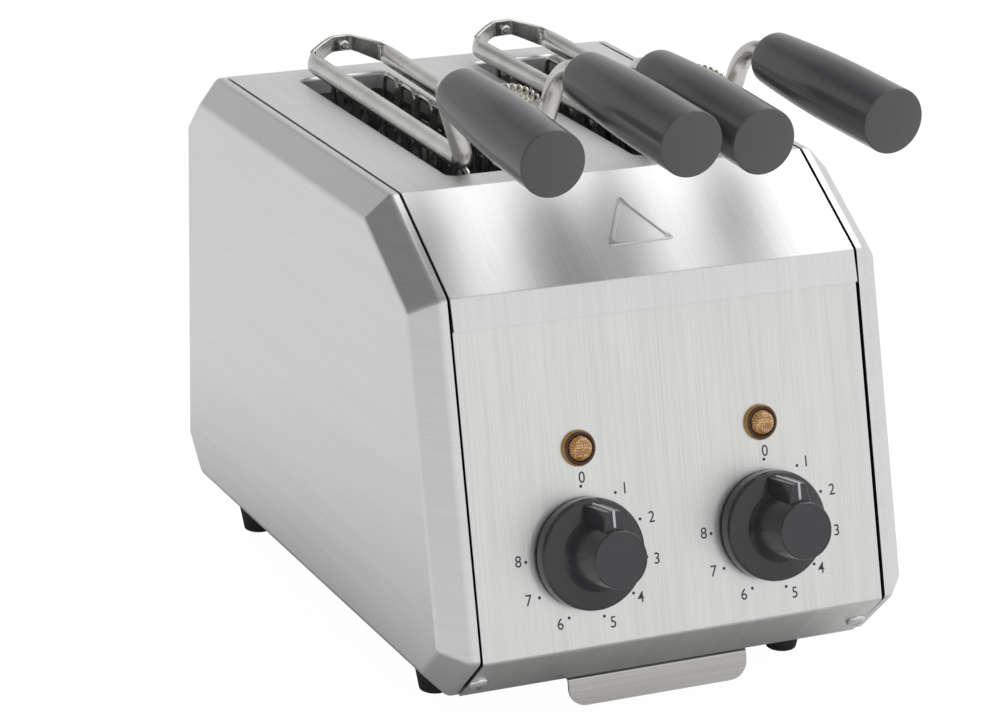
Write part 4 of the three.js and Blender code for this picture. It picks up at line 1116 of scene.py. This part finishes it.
for word, side in SIDES:
    for row, wall in (("outer", side), ("inner", -side)):
        x = side * SLOT_CENTRE + wall * GUARD_HALF
        y = GUARD_MIDDLE - (GUARD_POSTS - 1) / 2 * GUARD_PITCH
        post = bent_wire("post", [at(x, y, GUARD_FOOT), at(x, y, GUARD_TOP)], [], GUARD_WIRE * MM)
        parts = [post] + [copy_of(post, mm(0, n * GUARD_PITCH, 0)) for n in range(1, GUARD_POSTS)]
        rail_x = x + wall * GUARD_WIRE * GUARD_RAIL_OUT_SHARE
        for z in GUARD_LEVELS:
            ends = [at(rail_x, GUARD_MIDDLE + end * GUARD_RAIL_HALF, z) for end in (-1, 1)]
            parts.append(bent_wire("rail", ends, [], GUARD_WIRE * MM))
        guard = as_one(f"{word}_{row}_wires", parts)
        dress(guard, wire_steel, "chassis", "wire_steel", f"{word}_{row}_guard")
print("guards reach down to", round(GUARD_FOOT, 1), "mm")

# %% [markdown]
# ## Tongs
# A tong is two long arms riveted at the back, so each is drawn about the rivet, in millimetres, and then
# turned to where it stands: it leans and yaws by a degree or two, as something that is dropped into a slot
# does. Each arm is a tube that runs forward, turns up at the elbow, and turns again into its handle. At the
# back it is pressed flat, and the flat slants across and climbs a little to lap over its twin's.

# %% Where the tongs stand
TONG_PIVOT = {"left": (-40.7, 283, 213.4), "right": (41.5, 283, 213.4)}
TONG_YAW = {"left": 0.0, "right": 2.3}
TONG_ROLL = 1.8
TONG_PITCH = 1.0
ARM_RADIUS = 4.3
ARM_SPREAD = 16.6
ARM_SPREAD_REAR = 18.1
ARM_DROP = 4.8
ARM_REACH = 175
RISER_LEAN = math.radians(16.7)
RISER_LENGTH = 40.5
HANDLE_START = 22
HANDLE_SPLAY = math.radians(1.25)
HANDLE_DIP = math.radians(2)
PRESS_START = -16
STRAP_START = (17.3, -6.6)
LAP_END = 4.2


def tong_frame(word):
    turn = (
        Matrix.Rotation(math.radians(TONG_YAW[word]), 4, "Z")
        @ Matrix.Rotation(math.radians(TONG_PITCH), 4, "X")
        @ Matrix.Rotation(math.radians(-TONG_ROLL), 4, "Y")
    )
    return Matrix.Translation(at(*TONG_PIVOT[word])) @ turn


def arm_places(side):
    """Where an arm turns up, where it turns into its handle, and the way and start of the handle."""
    foot = mm(side * ARM_SPREAD, -ARM_REACH, -ARM_DROP)
    rise = Vector((side * math.sin(RISER_LEAN), 0, math.cos(RISER_LEAN)))
    top = foot + rise * RISER_LENGTH * MM
    level = math.cos(HANDLE_DIP)
    run = Vector((side * math.sin(HANDLE_SPLAY), -math.cos(HANDLE_SPLAY) * level, -math.sin(HANDLE_DIP)))
    return foot, top, run, top + run * HANDLE_START * MM


print("tong arms reach", ARM_REACH, "mm forward")

# %% Arms
ELBOW = 6.5
KNUCKLE = 13
ARM_STUB = 17
STRAP_SIZE = (1.2, 0.4, 7.5)
STRAP_EDGE = 0.5
STRAP_PATH = [
    (17.1, -6.1, 24, 1.8, 1.2), (16.7, -5.55, 42), (15.9, -4.8, 50, 1.8, 1.18),
    (14.2, -3.5, 53, 1.8, 1.14), (12.3, -2.15, 56, 1.8, 1.1), (10.4, -0.95, 60, 1.8, 1.06),
    (8.7, 0.0, 66, 1.8, 1.02), (7.2, 0.62, 73, 1.8, 1), (5.9, 1.02, 80), (4.6, 1.25, 90), (-4.2, 1.25, 90),
]
PRESSED = [
    (18.1, -12.5, 0, 0.92, 1.01), (18.1, -10.4, 8, 0.74, 1.03), (17.9, -8.4, 24, 0.5, 1.05),
    (17.1, -6.6, 42, 0.34, 1.05), (15.6, -4.8, 54.6, 0.27, 1.04),
]
RIVET_HALF = [(0.75, 2.95), (0.95, 3.5), (1.6, 3.55), (2.2, 3.15), (2.3, 2.7), (1.4, 2.65)]
RIVET_RINGS = [(r, -h) for r, h in RIVET_HALF] + RIVET_HALF[::-1]


def climb(across):
    """The height of the pressed end, which climbs from the tube to the rivet."""
    return -max(0, across - LAP_END) * ARM_DROP / (ARM_SPREAD_REAR - LAP_END)


def follow(side, start, path):
    """Draws the picked end of the open piece through (across, y, heading) places, with optional widths."""
    (across, y), heading, width, height = start, 0, 1, 1
    for new_across, new_y, new_heading, *sizes in path:
        push(mm(side * (new_across - across), new_y - y, climb(new_across) - climb(across)))
        across, y = new_across, new_y
        spot = mm(side * across, y, climb(across))
        new_width, new_height = sizes or (width, height)
        bpy.ops.transform.resize(value=(new_width / width, 1, new_height / height), center_override=spot)
        turn = math.radians(new_heading - heading)
        bpy.ops.transform.rotate(value=-side * turn, orient_axis="Z", center_override=spot)
        heading, width, height = new_heading, new_width, new_height


def strap(side):
    """The flat end: a bar that turns towards its twin and laps over it."""
    across, y = STRAP_START
    piece = block("strap", mm(side * across, y - STRAP_SIZE[1] / 2, climb(across)), STRAP_SIZE)
    pick("FACE", lambda face: face.normal.y > 0.9)
    follow(side, STRAP_START, STRAP_PATH)
    turn_outwards()
    pick("EDGE", lambda edge: len(edge.link_faces) == 2 and edge.calc_face_angle(0) > 0.9)
    bpy.ops.mesh.bevel(offset=STRAP_EDGE * MM, segments=3, affect="EDGES")
    return close_piece(piece)


def pressed_end(side):
    """The last of the tube, squeezed from round to flat."""
    place = mm(side * ARM_SPREAD_REAR, PRESS_START, -ARM_DROP)
    bpy.ops.mesh.primitive_circle_add(
        vertices=28, radius=ARM_RADIUS * MM, location=place, rotation=(-math.pi / 2, 0, 0), fill_type="NGON"
    )
    piece = open_piece("pressed")
    follow(side, (ARM_SPREAD_REAR, PRESS_START), PRESSED)
    turn_outwards()
    return close_piece(piece, 50)


def arm(word, hand, side):
    foot, top, run, start = arm_places(side)
    rear = mm(side * ARM_SPREAD_REAR, PRESS_START, -ARM_DROP)
    front = start + run * ARM_STUB * MM
    tube = bent_wire("arm", [rear, foot, top, front], [ELBOW * MM, KNUCKLE * MM], ARM_RADIUS * MM, 28)
    piece = as_one(f"{word}_arm_{hand}", [tube, pressed_end(side), strap(side)])
    return set_down(piece, tong_frame(word))


for word in ("left", "right"):
    for hand, side in SIDES:
        piece = arm(word, hand, side)
        dress(piece, arm_steel, f"{word}_tong_{hand}_jaw", "tube_steel", f"{word}_tong_arm_{hand}")
    rivet = turned(f"{word}_rivet", RIVET_RINGS, 32)
    close_piece(rivet, 40)
    set_down(rivet, tong_frame(word) @ Matrix.Rotation(math.radians(-90), 4, "X"))
    dress(rivet, screw_steel, f"{word}_tong", "bright_steel", f"{word}_tong_rivet")
print("four arms and two rivets made")

# %% [markdown]
# ## Handles
# The handles are moulded round grips, slimmer behind and full for the front half, with a slightly domed end.
# The front edge is tight, and it catches a thin line of light all round.

# %% Handles
GRIP_RADIUS = 14.1
GRIP_LENGTH = 93.7
GRIP_EDGE = 0.7
DOME = [(13.0, 0.25), (10.5, 0.75), (7.5, 1.15), (4.0, 1.45), (1.0, 1.55)]
HANDLE_RINGS = [
    (4.6, 16), (4.6, 0.0), (9.6, 0.0), (11.0, 0.7), (11.6, 2.2), (12.2, 10), (12.9, 22), (13.5, 34),
    (13.9, 46), (GRIP_RADIUS, 58), (GRIP_RADIUS, GRIP_LENGTH),
    *((radius, GRIP_LENGTH + height) for radius, height in DOME),
]

for word in ("left", "right"):
    for hand, side in SIDES:
        *_, run, start = arm_places(side)
        grip = turned(f"{word}_grip_{hand}", HANDLE_RINGS, 72)
        soften([(GRIP_RADIUS, GRIP_LENGTH)], GRIP_EDGE)
        close_piece(grip, 45)
        set_down(grip, tong_frame(word) @ facing(start, run))
        dress(grip, handle_plastic_painted_sheen, f"{word}_tong_{hand}_jaw", "black_plastic", f"{word}_tong_handle_{hand}")
print("handles are", GRIP_LENGTH + DOME[-1][1], "mm long")

# %% [markdown]
# ## Cages
# Below each arm hangs a flat cage of hairpin loops that holds one side of the sandwich. One loop is bent and
# copied along the arm. Between neighbouring loops a single wire stands, with a round bead at its top.

# %% Cages
CAGE_WIRE = 1.2
SINGLE_WIRE_SHARE = 0.8
CAGE_START = 18
CAGE_PITCH = 19.4
CAGE_LOOPS = 8
CAGE_LOOP_HALF = 7.3
CAGE_SHOULDER = 13.2
CAGE_FOOT = 2.2
CAGE_GAP = 0.3
CAGE_DEPTH = 124
CAGE_TOP = -(ARM_DROP + ARM_RADIUS + CAGE_GAP + CAGE_WIRE)
CAGE_TOE = CAGE_TOP - CAGE_DEPTH
CAGE_BEND = 3.4
TOE_RAIL = 1.5
BEAD_RADIUS = 1.35
BEAD_DROP = 0.4


def hairpin(side, middle):
    toe, top = mm(side * CAGE_FOOT, middle, CAGE_TOE), mm(side * CAGE_SHOULDER, middle, CAGE_TOP)
    half = mm(0, CAGE_LOOP_HALF, 0)
    places = [toe + half, top + half, top - half, toe - half]
    return bent_wire("hairpin", places, [CAGE_BEND * MM] * 2, CAGE_WIRE * MM, 10)


def beaded_wire(side, y):
    toe, top = mm(side * CAGE_FOOT, y, CAGE_TOE), mm(side * CAGE_SHOULDER, y, CAGE_TOP - BEAD_DROP)
    wire = bent_wire("single", [toe, top], [], CAGE_WIRE * SINGLE_WIRE_SHARE * MM, 10)
    bpy.ops.mesh.primitive_uv_sphere_add(segments=16, ring_count=10, radius=BEAD_RADIUS * MM, location=top)
    bpy.ops.object.transform_apply(location=True, rotation=True, scale=True)
    bpy.ops.object.shade_smooth()
    return as_one("single", [wire, bpy.context.object])


for word in ("left", "right"):
    for hand, side in SIDES:
        loop = hairpin(side, -CAGE_START - CAGE_PITCH / 2)
        single = beaded_wire(side, -CAGE_START - CAGE_PITCH)
        parts = [loop] + [copy_of(loop, mm(0, -n * CAGE_PITCH, 0)) for n in range(1, CAGE_LOOPS)]
        parts += [single] + [copy_of(single, mm(0, -n * CAGE_PITCH, 0)) for n in range(1, CAGE_LOOPS - 1)]
        rear_y = -CAGE_START - CAGE_PITCH / 2 + CAGE_LOOP_HALF + TOE_RAIL
        front_y = rear_y - 2 * (TOE_RAIL + CAGE_LOOP_HALF) - (CAGE_LOOPS - 1) * CAGE_PITCH
        ends = [mm(side * CAGE_FOOT, rear_y, CAGE_TOE), mm(side * CAGE_FOOT, front_y, CAGE_TOE)]
        parts.append(bent_wire("toe_rail", ends, [], TOE_RAIL * MM, 10))
        cage = set_down(as_one(f"{word}_cage_{hand}", parts), tong_frame(word))
        dress(cage, wire_steel, f"{word}_tong_{hand}_jaw", "wire_steel", f"{word}_tong_cage_{hand}")
print("cages have", CAGE_LOOPS, "loops each")

# %% [markdown]
# ## Springs
# A coil between the two risers pushes the arms apart. It is wound straight with a screw modifier, which
# carries a small ring round and along its axis, and then bent to an arch. A short straight wire at each end
# runs into its riser.

# %% Springs
SPRING_WIRE = 0.65
SPRING_COIL = 2.25
SPRING_CURLS = 12
SPRING_FOOT = 18.5
SPRING_RISE = 6.7
SPRING_GAP = 0.2
SPRING_TAIL = 1.4


def coil(name, length):
    start = mm(SPRING_COIL, 0, -length / 2)
    bpy.ops.mesh.primitive_circle_add(
        vertices=10, radius=SPRING_WIRE * MM, location=start, rotation=(math.pi / 2, 0, 0)
    )
    piece = open_piece(name)
    change(
        piece,
        "SCREW",
        axis="Z",
        screw_offset=length * MM / SPRING_CURLS,
        iterations=SPRING_CURLS,
        steps=20,
        render_steps=20,
        use_normal_calculate=True,
    )
    bpy.ops.object.mode_set(mode="EDIT")
    fill_ends()
    bpy.ops.object.mode_set(mode="OBJECT")
    bpy.ops.object.shade_smooth_by_angle(angle=math.radians(50))
    return piece


riser_middle = ARM_SPREAD + (SPRING_FOOT + ARM_DROP) * math.tan(RISER_LEAN)
half_span = riser_middle - (ARM_RADIUS + SPRING_COIL + SPRING_WIRE + SPRING_GAP) / math.cos(RISER_LEAN)
arch_radius = (half_span**2 + SPRING_RISE**2) / (2 * SPRING_RISE)
arch_angle = 2 * math.asin(half_span / arch_radius)
for word in ("left", "right"):
    spring = coil(f"{word}_spring", arch_radius * arch_angle)
    set_down(spring, Matrix.Rotation(math.pi / 2, 4, "Y"))
    change(spring, "SIMPLE_DEFORM", deform_method="BEND", angle=arch_angle, deform_axis="Z")
    apex = mm(0, -ARM_REACH, SPRING_FOOT + SPRING_RISE)
    set_down(spring, Matrix.Translation(apex) @ Matrix.Rotation(-math.pi / 2, 4, "X"))
    parts = [spring]
    for side in (-1, 1):
        end = mm(side * (half_span + SPRING_COIL), -ARM_REACH, SPRING_FOOT)
        into = end + mm(side * SPRING_TAIL, 0, -SPRING_TAIL * math.tan(RISER_LEAN))
        parts.append(bent_wire("spring_end", [end, into], [], SPRING_WIRE * MM, 10))
    set_down(as_one(f"{word}_spring", parts), tong_frame(word))
    heights = [vertex.co.z for vertex in spring.data.vertices]
    print(f"{word} spring stands", round((max(heights) - min(heights)) / MM, 1), "mm high")
    dress(spring, spring_steel, f"{word}_tong", "bright_steel", f"{word}_tong_spring")

# %% [markdown]
# ## Inner plates and fittings
# What is seen through the slots, from below and from behind keeps its solid and gets its own metal or
# plastic. Their shapes are simple flat plates and tubes, so a finish is all that they need.

# %% Finishes on the solids that stay
STAYING = (
    (panel_steel, ["rear_panel"]),
    (dull_steel, ["base_plate", "front_bulkhead", "rear_bulkhead"]),
    (mirror_steel, ["left_reflector", "right_reflector"]),
    (gland_plastic, ["cord_gland", "cord_gland_nut"]),
    (cream_plastic, ["terminal_block", "left_timer", "right_timer"]),
    (screw_steel, ["left_timer_shaft", "right_timer_shaft"]),
    (quartz, [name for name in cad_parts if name.endswith("_element")]),
)
for finish, names in STAYING:
    for name in names:
        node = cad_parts[name]
        node.data.materials.clear()
        node.data.materials.append(finish)
print("finished", sum(len(names) for finish, names in STAYING), "solids")

# %% [markdown]
# ## Floor and light
# The toaster stands on a white sweep. The floor is plain and pale, and seen straight from the camera it is
# lifted to paper white, with its soft shadow kept. Mirrored in the steel it is lifted too, but not close to
# the toaster, where it lies in shade. A large soft light hangs overhead. The room is pale below and at the
# front, and darker high on the left and above the sweep behind, because steel and glossy plastic show the
# room that they stand in.

# %% Floor
PAPER_WHITE = 1.045
SEEN_LIFT = 0.94
MIRRORED_LIFT = 0.62
BESIDE_FADE = (0.11, 0.21)
BEYOND_FADE = (0.20, 0.40)

bpy.ops.mesh.primitive_plane_add(size=8, location=(0, 0, 0))
floor = bpy.context.object
floor.name = "floor"
paper = new_finish("White_paper")
nodes = Value.tree.nodes
surface(Base_Color=between(grain((6, 6, 6), 2), (0.78, 0.78, 0.78), (0.82, 0.82, 0.82)), Roughness=0.7)
seen = Value.node("ShaderNodeLightPath", out="Is Camera Ray")
mirrored = Value.node("ShaderNodeLightPath", out="Is Glossy Ray")
spot = Value.tree.nodes.new("ShaderNodeSeparateXYZ")
Value.tree.links.new(place_on_piece().socket, spot.inputs[0])
across, along = (Value(spot.outputs[n]) for n in range(2))
beside = step_between(across.math("ABSOLUTE", across, 0), *BESIDE_FADE)
beyond = step_between(along.math("ABSOLUTE", along, 0), *BEYOND_FADE)
open_floor = beside.math("MAXIMUM", beside, beyond)
white = Value.node("ShaderNodeEmission", values={"Color": (1, 1, 1, 1), "Strength": PAPER_WHITE})
plain = Value(nodes["Principled BSDF"].outputs[0])
lift = seen * SEEN_LIFT + mirrored * open_floor * MIRRORED_LIFT
mixed = Value.node("ShaderNodeMixShader", values={0: lift, 1: plain, 2: white})
Value.tree.links.new(mixed.socket, nodes["Material Output"].inputs["Surface"])
floor.data.materials.append(paper)

# %% Room and lamps
world = bpy.data.worlds.new("Studio")
bpy.context.scene.world = world
world.use_nodes = True
Value.tree = world.node_tree
looking = Value.node("ShaderNodeTexCoord", out="Generated")
parts = Value.tree.nodes.new("ShaderNodeSeparateXYZ")
Value.tree.links.new(looking.socket, parts.inputs[0])
east, north, up = (Value(parts.outputs[n]) for n in range(3))
upper_left = step_between(up * 1.3 - east * 0.7, 0.62, 1.2)
behind = step_between(north, 0.2, 0.9)
west = step_between(0 - east, 0.5, 0.95)
middle_height = step_between(up, 0.42, 0.52) * (1 - step_between(up, 0.7, 0.82))
above_sweep = middle_height * step_between(north, 0.5, 0.75)
level = 0.88 - upper_left * 0.62 - behind * 0.14 - west * 0.08 - above_sweep * 0.30
seen = Value.node("ShaderNodeLightPath", out="Is Camera Ray")
room = seen + (1 - seen) * level
background = Value.tree.nodes["Background"]
Value.tree.links.new(room.socket, background.inputs["Strength"])
background.inputs["Color"].default_value = (1, 1, 1, 1)


def soft_light(name, place, target, width, depth, power):
    light = bpy.data.lights.new(name, "AREA")
    light.shape = "RECTANGLE"
    light.size, light.size_y, light.energy = width, depth, power
    lamp_object = bpy.data.objects.new(name, light)
    bpy.context.scene.collection.objects.link(lamp_object)
    lamp_object.matrix_world = facing(Vector(place), Vector(place) - Vector(target))


soft_light("Overhead", (0.75, 0.1, 1.7), (0.0, 0.0, 0.1), 1.5, 1.5, 9.5)
soft_light("Front", (0.9, -2.2, 0.9), (0.0, 0.0, 0.1), 1.2, 0.9, 0.4)
bpy.context.scene.view_settings.view_transform = "Standard"
print("floor, room and two soft lights are set")
